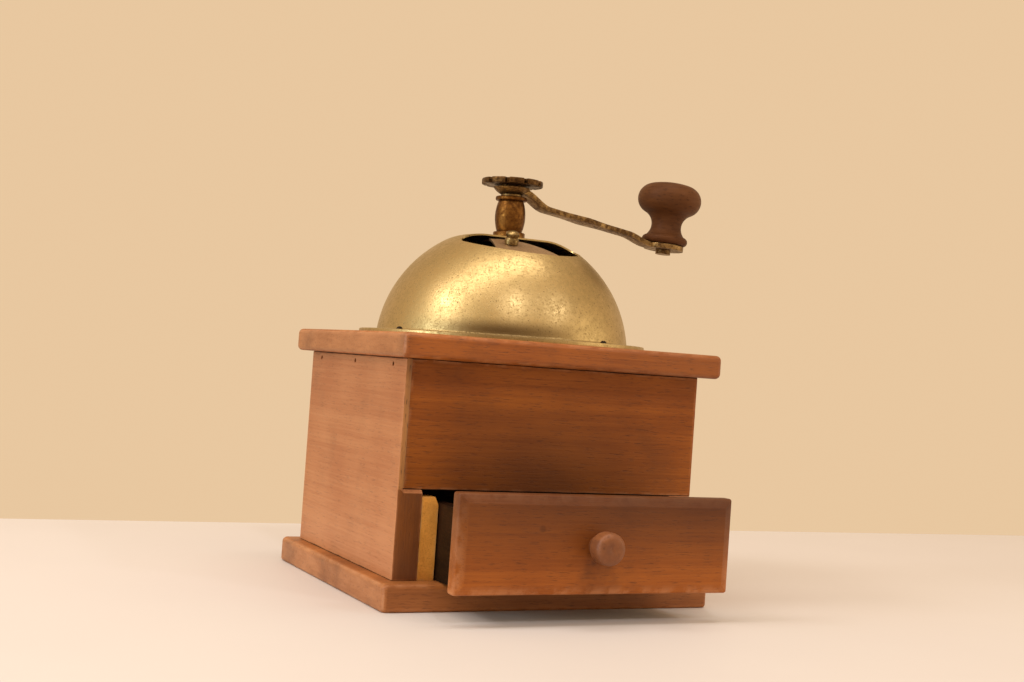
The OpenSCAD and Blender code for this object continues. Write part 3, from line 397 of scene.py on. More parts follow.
# A lip below nought lies outside the board, so that the rebate is cut through
for node, hand, lip in (("left_side_panel", -1, 2.3 * mm), ("right_side_panel", 1, -1.0 * mm)):
    low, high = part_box(node)
    outer, inner = (low[0], high[0]) if hand < 0 else (high[0], low[0])
    lip_x = outer - hand * lip
    rebate_y = low[1] + rebate_deep
    bm = block(low, high)
    saw(bm, (lip_x, 0, 0), (1, 0, 0))
    saw(bm, (0, rebate_y, 0), (0, 1, 0))
    saw(bm, (0, 0, bay_top), (0, 0, 1))
    waste = []
    for face in bm.faces:
        x, y, z = face.calc_center_median()
        if (x - lip_x) * hand < -hair and y < rebate_y - hair and z > bay_top + hair:
            waste.append(face)
    bmesh.ops.delete(bm, geom=waste, context="FACES")
    if lip > 0:
        bm.verts.new((lip_x, rebate_y, bay_top))
    deepest = nearest(bm, lip_x, rebate_y, bay_top)
    lip_top = nearest(bm, lip_x, low[1], high[2])
    lip_foot = nearest(bm, lip_x, low[1], bay_top)
    ledge_front = nearest(bm, inner, low[1], bay_top)
    ledge_back = nearest(bm, inner, rebate_y, bay_top)
    wall_top = nearest(bm, inner, rebate_y, high[2])
    deep_top = nearest(bm, lip_x, rebate_y, high[2])
    bm.faces.new((lip_foot, ledge_front, ledge_back, deepest))
    bm.faces.new((ledge_back, wall_top, deep_top, deepest))
    if lip > 0:
        bm.faces.new((lip_top, lip_foot, deepest, deep_top))
    bmesh.ops.remove_doubles(bm, verts=bm.verts, dist=1e-7)
    bmesh.ops.recalc_face_normals(bm, faces=bm.faces)
    ledge = []
    for edge in sharp_edges(bm):
        ends = [v.co for v in edge.verts]
        at_front = all(abs(end.z - bay_top) < hair and abs(end.y - low[1]) < hair for end in ends)
        if at_front and (ends[0].x + ends[1].x - 2 * lip_x) * hand < 0:
            ledge.append(edge)
    ease(bm, ledge, ledge_bevel, 1)
    ease(bm, sharp_edges(bm, 60), side_ease, 2)
    for nail_y in nail_ys:
        bm.faces.ensure_lookup_table()
        facing_out = [f for f in bm.faces if f.normal.x * hand > 0.99]
        skin = [f for f in facing_out if abs(f.calc_center_median().x - outer) < hair]
        spot = ring_of_points((outer, nail_y, nail_z), nail_hole_r, nail_hole_steps, (0, 1, 0), (0, 0, 1))
        hole = scribe(bm, skin, spot, Vector((1, 0, 0)))
        pushed = bmesh.ops.extrude_face_region(bm, geom=hole)
        sunk = [v for v in pushed["geom"] if isinstance(v, bmesh.types.BMVert)]
        bmesh.ops.translate(bm, vec=(-hand * nail_hole_deep, 0, 0), verts=sunk)
        bmesh.ops.delete(bm, geom=[f for f in hole if f.is_valid], context="FACES_ONLY")
    bmesh.ops.recalc_face_normals(bm, faces=bm.faces)
    for face in bm.faces:
        x, y, z = face.calc_center_median()
        if face.normal.y < -0.9 and y < rebate_y - 1 * mm:
            face.material_index = 1 if z < bay_top else 2
        if face.normal.x * hand < -0.9:
            face.material_index = 3 if abs(x - inner) < 1 * mm else 1
    # Painted shade: the outer face darkens towards its top, because its lower part takes more light bounced
    # from below
    shaded = ((outer, 0, high[2]), (1.0, 1.0, 0.085), 0.13)
    side_wood = stained_wood(node + "_wood", node, side_stain, along_y, side_rub, 0.3, 0.25, joint_line,
                             shaded)
    panel = set_down(node + "_board", bm, side_wood, "mill_body", [node], 40, True)
    bay_edge = stained_wood(node + "_bay_edge", node, bay_edge_dirt_and_shade, upright, thin_rub)
    lip_edge = stained_wood(node + "_lip", node, lip_stain, upright, thin_rub, 0.9, 0.7)
    # Painted shade on the panel's inner face
    inside = stained_wood(node + "_inside", node, inside_shade_stain, along_y, thin_rub, sheen=0.08)
    for wood in (bay_edge, lip_edge, inside):
        panel.data.materials.append(wood)

# Front and back panels.
# The front panel sits in the side panels' rebates, behind the left one's lip and over the right one's edge,
# and comes down close over the drawer. It is bare, dark from handling. The back panel is a plain board.
front_stain = ((0.355, 0.104, 0.01, 1), (0.22, 0.057, 0.005, 1), rubbed_red)
front_rub = 1.6 * mm
front_ease = 0.35 * mm
right_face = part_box("right_side_panel")[1][0]
for node, name, stain, inward in (("front_panel", "front_board", front_stain, 1),
                                  ("back_panel", "back_board", red_stain, -1)):
    low, high = map(Vector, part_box(node))
    if node == "front_panel":
        low.z = bay_top
        high.x = right_face
    bm = block(low, high)
    ease(bm, sharp_edges(bm), front_ease, 2)
    for face in bm.faces:
        if face.normal.y * inward > 0.9:
            face.material_index = 1
        if abs(face.normal.x) > 0.9:
            face.material_index = 2
    handled = ((-6 * mm, low.y, low.z + 2 * mm), (0.075, 0.1, 0.05), 0.6)
    wood = stained_wood(name + "_wood", node, stain, along_x, front_rub, 0.5, 0.3, joint_line, handled, 0.22,
                        (low, high))
    panel = set_down(name, bm, wood, "mill_body", [node], 40, True)
    # Painted shade on the panel's inner face
    inside = stained_wood(name + "_inside", node, inside_shade_stain, along_x, thin_rub, sheen=0.08)
    end = stained_wood(name + "_end", node, end_stain, end_grain, thin_rub, box=(low, high))
    for wood in (inside, end):
        panel.data.materials.append(wood)

# Guides, cleats and the drawer's inner boards.
# Plain strips and thin boards, sawn and planed and never finished. The guides keep their tan colour, and
# the drawer's own boards are painted nearly black, as painted shade inside the bay.
raw_stain = ((0.88, 0.43, 0.09, 1), (0.62, 0.27, 0.05, 1), (0.58, 0.36, 0.16, 1))
# Painted shade: nearly black wood for the drawer's boards deep in the bay
bay_shade_stain = ((0.016, 0.0075, 0.0035, 1), (0.007, 0.0035, 0.0016, 1), (0.02, 0.009, 0.0045, 1))


def dress(node, material):
    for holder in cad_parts[node].material_slots:
        holder.material = material


for nodes, stain, draw in (
        (("left_drawer_guide", "right_drawer_guide"), raw_stain, along_y),
        (("left_top_cleat", "right_top_cleat"), raw_stain, along_y),
        (("drawer_left_side", "drawer_right_side"), bay_shade_stain, along_y),
        (("drawer_back", "drawer_bottom"), inside_shade_stain, along_x)):
    for node in nodes:
        dress(node, stained_wood(node + "_raw", node, stain, draw, thin_rub, 0.3, 0.35, sheen=0.08))

# Drawer front.
# A bevelled board nailed across the drawer's sides. It overlaps the bay all round, and its upper part
# is painted darker as shade, the lower part taking more light.
bevel_wide = 3.4 * mm
bevel_deep = 1.2 * mm
outer_ease = 0.9 * mm
bevel_ease = 0.8 * mm
drawer_rub = 4.2 * mm
low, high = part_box("drawer_front")
bm = block((low[0], low[1] + bevel_deep, low[2]), high)
front = min(bm.faces, key=lambda f: f.calc_center_median().y)
bmesh.ops.inset_region(bm, faces=[front], thickness=bevel_wide, depth=bevel_deep, use_even_offset=True)
bmesh.ops.recalc_face_normals(bm, faces=bm.faces)
ease(bm, sharp_edges(bm, 60), outer_ease, 4)
ease(bm, sharp_edges(bm, 14), bevel_ease, 3)
drawer_stain = ((0.48, 0.144, 0.018, 1), (0.30, 0.079, 0.01, 1), (0.58, 0.26, 0.115, 1))
# Painted shade: the drawer front darkens towards its top
drawer_top_shade = ((30 * mm, low[1], high[2]), (0.36, 1.0, 0.043), 0.83)
drawer_wood = stained_wood("drawer_face_wood", "drawer_front", drawer_stain, along_x, drawer_rub, 0.42, 0.45,
                           soil_and_shade=drawer_top_shade, sheen=0.22)
set_down("drawer_face", bm, drawer_wood, "drawer", ["drawer_front"], 20, True)

# Drawer knob.
# A small turned wooden button with a short neck, glued by its dowel into the drawer front. The end shows
# a dimple from the lathe and the stain is worn at the rim.


def turned(profile, steps):
    bm = bmesh.new()
    line = [bm.verts.new((r, 0, h)) for r, h in profile]
    edges = [bm.edges.new(pair) for pair in zip(line, line[1:])]
    bmesh.ops.spin(bm, geom=line + edges, cent=(0, 0, 0), axis=(0, 0, 1), dvec=(0, 0, 0), angle=math.tau,
                   steps=steps, use_merge=True)
    bmesh.ops.remove_doubles(bm, verts=bm.verts, dist=1e-7)
    bmesh.ops.recalc_face_normals(bm, faces=bm.faces)
    return bm


def arc(middle_r, middle_h, radius, start, end, count):
    turns = [math.radians(start + (end - start) * i / count) for i in range(count + 1)]
    return [(middle_r + radius * math.sin(t), middle_h + radius * math.cos(t)) for t in turns]


low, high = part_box("drawer_knob")
button_r = (high[0] - low[0]) / 2
button_len = 10.5 * mm
neck_len = 0.28 * button_len
neck_r = 0.62 * button_r
round_r = 0.22 * button_len
dimple = ((0, 0.5 * mm), (0.9 * mm, 0.2 * mm), (1.4 * mm, 0))
profile = [(r, button_len - deep) for r, deep in dimple]
profile += arc(button_r - round_r, button_len - round_r, round_r, 0, 90, 8)
profile += arc(button_r - round_r, neck_len + round_r, round_r, 90, 180, 8)
profile += [(neck_r + 0.3 * mm, neck_len + 0.05 * mm), (neck_r, neck_len - 0.3 * mm), (neck_r, 0), (0, 0)]
bm = turned(profile, 64)
stands = Matrix.Translation(((low[0] + high[0]) / 2, low[1] + button_len, (low[2] + high[2]) / 2))
bmesh.ops.transform(bm, matrix=stands @ Matrix.Rotation(math.pi / 2, 4, "X"), verts=bm.verts)
button_rub = 1.6 * mm
button_draw = (240.0, 60.0, 240.0)
button_stain = ((0.29, 0.105, 0.034, 1), (0.14, 0.046, 0.016, 1), (0.34, 0.16, 0.09, 1))
button_wood = stained_wood("button_wood", "drawer_knob", button_stain, button_draw, button_rub)
set_down("drawer_button", bm, button_wood, "drawer", ["drawer_knob"], 38)

# Hopper dome.
# A cap of thin brass spun over a former. Its flange has a turned-down rim and is screwed to the top board,
# and a half-round mouth is cut through its crown. The metal is satin, mottled and full of specks.
tarnish, tarnish_in, tarnish_out = start_group(
    "tarnish",
    [("Place", "NodeSocketVector", None), ("Bright", "NodeSocketColor", (0.6, 0.42, 0.17, 1)),
     ("Dull", "NodeSocketColor", (0.4, 0.28, 0.11, 1)), ("Speck", "NodeSocketColor", (0.1, 0.06, 0.025, 1)),
     ("Specks", "NodeSocketFloat", 0.6), ("Gloss", "NodeSocketFloat", 0.28),
     ("Matt", "NodeSocketFloat", 0.45)],
    [("Colour", "NodeSocketColor"), ("Rough", "NodeSocketFloat"), ("Height", "NodeSocketFloat")])
metal_place = tarnish_in.outputs["Place"]
bloom = noise(tarnish, metal_place, 55.0, 5.0, 0.62)
mottle = noise(tarnish, metal_place, 420.0, 4.0, 0.6)
dots = put(tarnish, "ShaderNodeTexVoronoi", {"Vector": metal_place, "Scale": 1150.0})
seeds = put(tarnish, "ShaderNodeSeparateColor", {0: dots.outputs["Color"]}).outputs[0]
chosen = spread(tarnish, seeds, 0.72, 0.98)
small = spread(tarnish, dots.outputs["Distance"], 0.4, 0.14)
spots = reckon(tarnish, "MULTIPLY", chosen, small)
grains = spread(tarnish, noise(tarnish, metal_place, 1500.0, 3.0, 0.65), 0.5, 0.72, 0.0, 0.6)
dot_mask = reckon(tarnish, "MAXIMUM", spots, grains)
dot_share = reckon(tarnish, "MULTIPLY", dot_mask, tarnish_in.outputs["Specks"])
film = spread(tarnish, reckon(tarnish, "ADD", bloom, mottle), 0.78, 1.24)
filmed = blend_colours(tarnish, film, tarnish_in.outputs["Bright"], tarnish_in.outputs["Dull"])
specked = blend_colours(tarnish, dot_share, filmed, tarnish_in.outputs["Speck"])
tarnish.links.new(specked, tarnish_out.inputs["Colour"])
rough_feeds = {0: film, 2: tarnish_in.outputs["Gloss"], 3: tarnish_in.outputs["Matt"]}
rough = put(tarnish, "ShaderNodeMix", rough_feeds, data_type="FLOAT").outputs[0]
tarnish.links.new(reckon(tarnish, "MULTIPLY_ADD", rough, dot_share, rough), tarnish_out.inputs["Rough"])
tarnish.links.new(reckon(tarnish, "SUBTRACT", mottle, dot_mask), tarnish_out.inputs["Height"])
metal_relief_deep = 0.2 * mm


def old_metal(name, bright, dull, speck, specks, gloss, matt, relief, scale=1.0, soil_and_shade=None):
    metal = bpy.data.materials.new(name)
    metal.use_nodes = True
    tree = metal.node_tree
    shader = tree.nodes["Principled BSDF"]
    shader.inputs["Metallic"].default_value = 1.0
    real_place = put(tree, "ShaderNodeTexCoord", {}).outputs["Object"]
    place = put(tree, "ShaderNodeMapping", {"Vector": real_place, "Scale": (scale, scale, scale)}).outputs[0]
    skin = use(tree, tarnish, {"Place": place, "Bright": bright, "Dull": dull, "Speck": speck,
                               "Specks": specks, "Gloss": gloss, "Matt": matt})
    colour = skin.outputs["Colour"]
    # Soft dark patch round a given spot: on the dome it is a painted dark reflection
    if soil_and_shade:
        colour = blend_colours(tree, soil_and_shade_mask(tree, real_place, soil_and_shade), colour, speck)
    tree.links.new(colour, shader.inputs["Base Color"])
    tree.links.new(skin.outputs["Rough"], shader.inputs["Roughness"])
    bump_feeds = {"Strength": relief, "Distance": metal_relief_deep, "Height": skin.outputs["Height"]}
    tree.links.new(put(tree, "ShaderNodeBump", bump_feeds).outputs[0], shader.inputs["Normal"])
    return metal


dome_low, dome_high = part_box("dome")
# Painted reflection: a dark band low on the dome's front, where the dark board below is mirrored
dark_reflection_foot = ((-21.6 * mm, -44 * mm, dome_low[2] + 3.2 * mm), (0.042, 0.042, 0.0055), 1.0)
dome_brass = old_metal("spun_brass", (0.52, 0.38, 0.168, 1), (0.42, 0.304, 0.128, 1), (0.13, 0.083, 0.035, 1),
                       0.7, 0.34, 0.44, 0.2, soil_and_shade=dark_reflection_foot)
dome_r = 49.2 * mm
crown_drop = 4.0 * mm
shoulder_r = 22.0 * mm
sheet = 0.8 * mm
flange_rise = 1.5 * mm
rim_round = 0.5 * mm
rim_gap = 0.05 * mm
foot_curve = 0.7 * mm
stem_hole_r = 4.25 * mm
flange_r = dome_high[0]
flange_top = dome_low[2] + flange_rise
crown = dome_high[2]
sphere_rise = crown - flange_top + crown_drop
sphere_r = (dome_r ** 2 + sphere_rise ** 2) / (2 * sphere_rise)
sphere_h = flange_top + sphere_rise - sphere_r
flat_r = math.sqrt(crown_drop * (2 * (sphere_r - shoulder_r) - crown_drop))
lean = math.degrees(math.atan2(flat_r, crown - shoulder_r - sphere_h))
seat = math.degrees(math.acos((flange_top + foot_curve - sphere_h) / sphere_r))
profile = [(stem_hole_r, crown), (0.5 * (stem_hole_r + flat_r), crown)]
profile += arc(flat_r, crown - shoulder_r, shoulder_r, 0, lean, 12)
profile += arc(0, sphere_h, sphere_r, lean, seat, 44)[1:]
profile += arc(profile[-1][0] + foot_curve, flange_top + foot_curve, foot_curve, 270, 180, 5)[1:]
profile += [(flange_r - rim_round, flange_top), (flange_r - 0.2 * rim_round, flange_top - 0.3 * rim_round),
            (flange_r, flange_top - rim_round), (flange_r, dome_low[2] + rim_gap)]
bm = turned(profile, 160)
mouth_r = 25.2 * mm
mouth_back = 6.8 * mm
mouth_zone = 12 * mm
corner_r = 4.2 * mm
corner_x = math.sqrt((mouth_r - corner_r) ** 2 - corner_r ** 2)
corner_turn = math.degrees(math.asin(corner_r / (mouth_r - corner_r)))
outline = arc(0, 0, mouth_r, 90 + corner_turn, 270 - corner_turn, 40)
outline += arc(-corner_x, -corner_r, corner_r, -90 - corner_turn, 0, 6)[1:]
outline += arc(corner_x, -corner_r, corner_r, 0, 90 + corner_turn, 6)[:-1]
outline = [Vector((x, y - mouth_back, crown)) for x, y in outline]
top_faces = [f for f in bm.faces if f.calc_center_median().z > crown - mouth_zone]
mouth = scribe(bm, top_faces, outline, Vector((0, 0, 1)))
bmesh.ops.delete(bm, geom=mouth, context="FACES")
bmesh.ops.recalc_face_normals(bm, faces=bm.faces)
dome_middle = Vector((0, 0, sphere_h))
if sum(f.normal.dot(f.calc_center_median() - dome_middle) for f in bm.faces) < 0:
    bmesh.ops.reverse_faces(bm, faces=bm.faces)
bmesh.ops.solidify(bm, geom=bm.faces[:], thickness=0.78 * sheet)
bmesh.ops.recalc_face_normals(bm, faces=bm.faces)
set_down("hopper_cap", bm, dome_brass, "mill_body", ["dome"], 40)

# Shutter.
# A pressed brass plate that turns under the crown on the pillar's spigot, with one straight edge that
# opens half the mouth. A little brass stud with a turned waist is riveted through it as a grip.
plate_brass = old_metal("plate_brass", (0.46, 0.31, 0.17, 1), (0.36, 0.23, 0.12, 1), (0.1, 0.06, 0.03, 1),
                        0.7, 0.42, 0.6, 0.2)
stud_brass = old_metal("stud_brass", (0.36, 0.25, 0.1, 1), (0.17, 0.105, 0.038, 1), (0.06, 0.035, 0.015, 1),
                       0.7, 0.24, 0.42, 0.15, 1.6)
plate_curve = 60.0 * mm
plate_r = 32.5 * mm
plate_edge = 9.4 * mm
plate_t = 0.8 * mm
plate_gap = 0.3 * mm
plate_lean = math.radians(4)
rest_turn = math.radians(-22)
edge_turn = rest_turn - math.radians(82)
plate_top = crown - sheet - plate_gap
plate_h = plate_top - plate_curve
first = math.degrees(math.asin(stem_hole_r / plate_curve))
last = math.degrees(math.asin(plate_r / plate_curve))
bm = turned(arc(0, plate_h, plate_curve, first, last, 20), 120)
edge_out = Vector((math.sin(edge_turn), -math.cos(edge_turn), 0))
saw(bm, edge_out * plate_edge, edge_out, True)
if sum(f.normal.z for f in bm.faces) < 0:
    bmesh.ops.reverse_faces(bm, faces=bm.faces)
bmesh.ops.solidify(bm, geom=bm.faces[:], thickness=0.95 * plate_t)
bmesh.ops.recalc_face_normals(bm, faces=bm.faces)
bent = Matrix.Translation((0, 0, plate_top)) @ Matrix.Rotation(plate_lean, 4, "Y")
bent = bent @ Matrix.Translation((0, 0, -plate_top))
bmesh.ops.transform(bm, matrix=bent, verts=bm.verts)
set_down("shutter_leaf", bm, plate_brass, "shutter", ["shutter_plate"], 40)

stud_r = 2.6 * mm
stud_h = 5.4 * mm
stud_at = 20.0 * mm
stud_foot = 0.05 * mm
stud_ease = 0.2 * mm
rivet_r = 0.5 * stud_r
rivet_deep = 1.6 * mm
crown_r = 1.4 * stud_r
tip = math.degrees(math.asin(stud_r / crown_r))
profile = arc(0, stud_h - crown_r, crown_r, 0, tip, 8)
profile += [(stud_r, 0.62 * stud_h)] + arc(stud_r + 0.2 * mm, 0.5 * stud_h, 0.12 * stud_h, 340, 200, 8)
profile += [(stud_r, 0.38 * stud_h), (stud_r, stud_ease), (stud_r - stud_ease, stud_foot),
            (rivet_r, stud_foot), (rivet_r, -rivet_deep), (0, -rivet_deep)]
bm = turned(profile, 40)
tilt = math.asin(stud_at / plate_curve)
stands = Matrix.Rotation(rest_turn, 4, "Z") @ Matrix.Translation((0, 0, plate_h))
stands = stands @ Matrix.Rotation(tilt, 4, "X") @ Matrix.Translation((0, 0, plate_curve))
bmesh.ops.transform(bm, matrix=bent @ stands, verts=bm.verts)
set_down("shutter_stud", bm, stud_brass, "shutter", ["shutter_knob"], 40)

# Pillar.
# A turned brass column holds the shaft upright over the crown: a flat foot, a swelling barrel and a thin
# collar. It is brown with age, and its spigot goes down through the crown and the shutter.
dark_brass = old_metal("brown_brass", (0.21, 0.092, 0.02, 1), (0.085, 0.031, 0.007, 1),
                       (0.03, 0.013, 0.006, 1), 0.6, 0.32, 0.5, 0.25, 1.8)
foot_r = 6.3 * mm
foot_t = 2.2 * mm
foot_low = crown + 0.02 * mm
spigot_r = 4.2 * mm
barrel_h = 12.4 * mm
barrel_r = 6.0 * mm
barrel_end_r = 4.9 * mm
collar_r = 6.2 * mm
shaft_hole_r = 3.05 * mm
low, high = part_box("bearing_pillar")
swell = barrel_r - barrel_end_r
swell_r = ((barrel_h / 2) ** 2 + swell ** 2) / (2 * swell)
swell_turn = math.degrees(math.asin(barrel_h / 2 / swell_r))
foot_top = crown + foot_t
collar_low = foot_top + barrel_h
ease_r = 0.5 * mm
profile = [(shaft_hole_r, high[2])]
profile += arc(collar_r - ease_r, high[2] - ease_r, ease_r, 0, 90, 4)
profile += arc(collar_r - ease_r, collar_low + ease_r, ease_r, 90, 180, 4)
profile += [(barrel_end_r, collar_low)]
barrel_mid = foot_top + barrel_h / 2
profile += arc(barrel_r - swell_r, barrel_mid, swell_r, 90 - swell_turn, 90 + swell_turn, 20)[1:-1]
profile += [(barrel_end_r, foot_top)]
profile += arc(foot_r - ease_r, foot_top - ease_r, ease_r, 0, 90, 4)
profile += [(foot_r, foot_low), (spigot_r, foot_low), (spigot_r, low[2]), (shaft_hole_r, low[2]),
            (shaft_hole_r, high[2])]
set_down("pillar", turned(profile, 72), dark_brass, "mill_body", ["bearing_pillar"], 40)

# Adjusting wheel.
# A thick brass disc on the shaft's thread, with notches filed round its rim for a spring or a thumb. It
# sets how fine the burrs grind.
notches = 10
notch_half_turn = 3.1
notch_deep = 1.9 * mm
wheel_steps = 180
wheel_ease = 0.3 * mm
boss_r = 5.0 * mm
boss_h = 0.6 * mm
boss_lap = 0.1 * mm
low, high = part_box("adjusting_wheel")
wheel_r = high[1]
boss_top = low[2] + boss_h
boss_in = boss_top + boss_lap


def join(bm, other):
    mesh = bpy.data.meshes.new("joined")
    other.to_mesh(mesh)
    other.free()
    bm.from_mesh(mesh)
    bpy.data.meshes.remove(mesh)


bm = bmesh.new()
bmesh.ops.create_circle(bm, cap_ends=True, radius=wheel_r, segments=wheel_steps)
bmesh.ops.translate(bm, vec=(0, 0, boss_top), verts=bm.verts)
for v in bm.verts:
    turn = math.degrees(math.atan2(v.co.y, v.co.x)) % (360 / notches) - 180 / notches
    if abs(turn) < notch_half_turn:
        v.co.xy = v.co.xy * ((wheel_r - notch_deep) / wheel_r)
raised = bmesh.ops.extrude_face_region(bm, geom=bm.faces[:])
lifted = [v for v in raised["geom"] if isinstance(v, bmesh.types.BMVert)]
bmesh.ops.translate(bm, vec=(0, 0, high[2] - boss_top), verts=lifted)
bmesh.ops.recalc_face_normals(bm, faces=bm.faces)
closed = [e for e in bm.edges if len(e.link_faces) == 2]
ease(bm, [e for e in closed if abs(e.verts[0].co.z - e.verts[1].co.z) < 1e-7], wheel_ease, 2)
join(bm, turned([(boss_r, boss_in), (boss_r, low[2]), (shaft_hole_r, low[2]), (shaft_hole_r, boss_in),
                 (boss_r, boss_in)], 48))
wheel_brass = old_metal("black_brass", (0.14, 0.072, 0.023, 1), (0.05, 0.023, 0.008, 1),
                        (0.02, 0.009, 0.004, 1), 0.6, 0.34, 0.55, 0.25, 1.8)
set_down("notched_wheel", bm, wheel_brass, "adjuster", ["adjusting_wheel"], 35)

# Crank.
# A forged brass strip: a bowl-shaped eye that fits the shaft's flats, a steep drop beside the pillar, a
# lozenge swelling half way, and a round pad under the knob. The edges are rounded by filing and wear.
crank_r = 72.0 * mm
eye_r = 7.4 * mm
eye_t = 2.8 * mm
strip_t = 1.9 * mm
strip_half = 3.4 * mm
strip_ease = 0.4 * mm
root_swell = 0.8 * mm
pad_r = 8.2 * mm
pad_lean = math.radians(4)
pad_tilt = math.tan(pad_lean)
arm_drop = 15.2 * mm
swell_half = 5.4 * mm
low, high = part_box("crank_arm")
eye_high = high[2]
eye_low = eye_high - eye_t
eye_mid = eye_high - eye_t / 2
pad_mid = eye_mid - arm_drop
bend_from = 4.2 * mm
bend_to = 2.16 * eye_r
bend_z = eye_mid - 0.376 * arm_drop
slope = 0.15
pad_from = crank_r - pad_r + 0.4 * mm
pad_from_z = pad_mid + (crank_r - pad_from) * pad_tilt
flat_from = pad_from - 1.34 * pad_r
flat_from_z = bend_z - slope * (flat_from - bend_to)
swell_at = eye_r + (crank_r - eye_r) * 0.4
swell_len = 2 * swell_half * 0.83


def eased_drop(x, from_x, from_z, from_slope, to_x, to_z, to_slope):
    span = to_x - from_x
    t = (x - from_x) / span
    return ((2 * t ** 3 - 3 * t ** 2 + 1) * from_z + (t ** 3 - 2 * t ** 2 + t) * span * from_slope
            + (3 * t ** 2 - 2 * t ** 3) * to_z + (t ** 3 - t ** 2) * span * to_slope)


def strip_z(x):
    if x < bend_from:
        return eye_mid
    if x < bend_to:
        return eased_drop(x, bend_from, eye_mid, 0, bend_to, bend_z, -slope)
    if x < flat_from:
        return bend_z - slope * (x - bend_to)
    if x < pad_from:
        return eased_drop(x, flat_from, flat_from_z, -slope, pad_from, pad_from_z, -pad_tilt)
    return pad_mid - (x - crank_r) * pad_tilt


def strip_width(x):
    root = root_swell * max(0.0, 1 - x / (swell_at - swell_len))
    lozenge = (swell_half - strip_half) * max(0.0, 1 - abs(x - swell_at) / swell_len)
    pad = math.sqrt(max(0.0, pad_r ** 2 - (x - crank_r) ** 2))
    return max(strip_half + root + lozenge if x < crank_r else 0.0, pad)


bend_steps = 14
arm_steps = 34
pad_steps = 28
stations = [bend_to * i / bend_steps for i in range(bend_steps)]
stations += [bend_to + (pad_from - bend_to) * i / arm_steps for i in range(arm_steps)]
stations += [crank_r - pad_r * math.cos(math.pi * i / pad_steps) for i in range(pad_steps)]
stations.sort()
stations.append(crank_r + 0.999 * pad_r)
bm = bmesh.new()
bmesh.ops.create_grid(bm, x_segments=len(stations) - 1, y_segments=2, size=1.0)
order = sorted({round(v.co.x, 6) for v in bm.verts})
for v in bm.verts:
    x = stations[order.index(round(v.co.x, 6))]
    v.co = Vector((x, v.co.y * max(strip_width(x), 0.2 * mm), strip_z(x)))
bmesh.ops.recalc_face_normals(bm, faces=bm.faces)
if sum(f.normal.z for f in bm.faces) < 0:
    bmesh.ops.reverse_faces(bm, faces=bm.faces)
bmesh.ops.translate(bm, vec=(0, 0, strip_t / 2), verts=bm.verts)
bmesh.ops.solidify(bm, geom=bm.faces[:], thickness=strip_t)
bmesh.ops.recalc_face_normals(bm, faces=bm.faces)
ease(bm, sharp_edges(bm, 55), strip_ease, 2)
bmesh.ops.dissolve_degenerate(bm, dist=2 * hair, edges=bm.edges)
seat_r = 4.4 * mm
eye_rise = 0.9 * eye_t
eye_lift = (eye_r ** 2 - seat_r ** 2 - eye_rise ** 2) / (2 * eye_rise)
bowl_r = math.hypot(eye_r, eye_lift)
bowl_mid = eye_low + eye_rise + eye_lift
bowl_from = 180 - math.degrees(math.asin(eye_r / bowl_r))
bowl_to = 180 - math.degrees(math.asin(seat_r / bowl_r))
profile = [(0, eye_high), (eye_r - 0.25 * mm, eye_high), (eye_r, eye_high - 0.2 * mm)]
profile += arc(0, bowl_mid, bowl_r, bowl_from, bowl_to, 10)[1:]
profile += [(0, eye_low)]
join(bm, turned(profile, 64))
arm_brass = old_metal("arm_brass", (0.30, 0.185, 0.07, 1), (0.1, 0.052, 0.02, 1), (0.035, 0.018, 0.009, 1),
                      0.7, 0.36, 0.55, 0.3, 1.7)
set_down("crank_strip", bm, arm_brass, "crank", ["crank_arm"], 35)

# Crank knob.
# Turned from one piece of dark hardwood: a flattened mushroom head, a hollowed neck and a round bead at
# the foot. It spins on a brass pin, and a wooden plug glued into the top hides the pin's head.
knob_h = 26.0 * mm
knob_r = 13.2 * mm
knob_gap = 0.3 * mm
side_r = 6.2 * mm
side_x = knob_r - side_r
cap_lift = 0.9 * mm
side_h = knob_h - side_r - cap_lift
cap_r = (side_x ** 2 + (side_r + cap_lift) ** 2 - side_r ** 2) / (2 * cap_lift)
cap_h = knob_h - cap_r
cap_turn = math.degrees(math.atan2(side_x, side_h - cap_h))
waist_r = 6.2 * mm
cove_r = 6.0 * mm
cove_x = waist_r + cove_r
cove_h = side_h - math.sqrt((cove_r + side_r) ** 2 - (cove_x - side_x) ** 2)
cove_turn = math.degrees(math.atan2(cove_x - side_x, side_h - cove_h))
bead_out = 9.5 * mm
bead_r = 1.8 * mm
bead_x = bead_out - bead_r
apart = math.hypot(cove_x - bead_x, cove_h - bead_r)
toward = math.degrees(math.atan2(bead_x - cove_x, bead_r - cove_h))
cove_end = toward + math.degrees(math.acos((cove_r ** 2 + apart ** 2 - bead_r ** 2) / (2 * cove_r * apart)))
meet_x = cove_x + cove_r * math.sin(math.radians(cove_end))
meet_h = cove_h + cove_r * math.cos(math.radians(cove_end))
bead_start = math.degrees(math.atan2(meet_x - bead_x, meet_h - bead_r))
plug_r = 4.15 * mm
plug_line = 0.3
plug_line_deep = 0.15 * mm
plug_turn = math.degrees(math.asin(plug_r / cap_r))
profile = arc(0, cap_h, cap_r, 0, plug_turn - plug_line, 6)
profile += [(plug_r, profile[-1][1] - plug_line_deep)]
profile += arc(0, cap_h, cap_r, plug_turn + plug_line, cap_turn, 12)
profile += arc(side_x, side_h, side_r, cap_turn, 180 - cove_turn, 22)[1:]
profile += arc(cove_x, cove_h, cove_r, -cove_turn, cove_end, 22)[1:]
profile += arc(bead_x, bead_r, bead_r, bead_start, 180, 14)
profile += [(0, 0)]
bm = turned(profile, 96)
pad_top = pad_mid + strip_t / 2 / math.cos(pad_lean)
stands = Matrix.Translation((crank_r, 0, pad_top)) @ Matrix.Rotation(pad_lean, 4, "Y")
bmesh.ops.transform(bm, matrix=stands @ Matrix.Translation((0, 0, knob_gap)), verts=bm.verts)
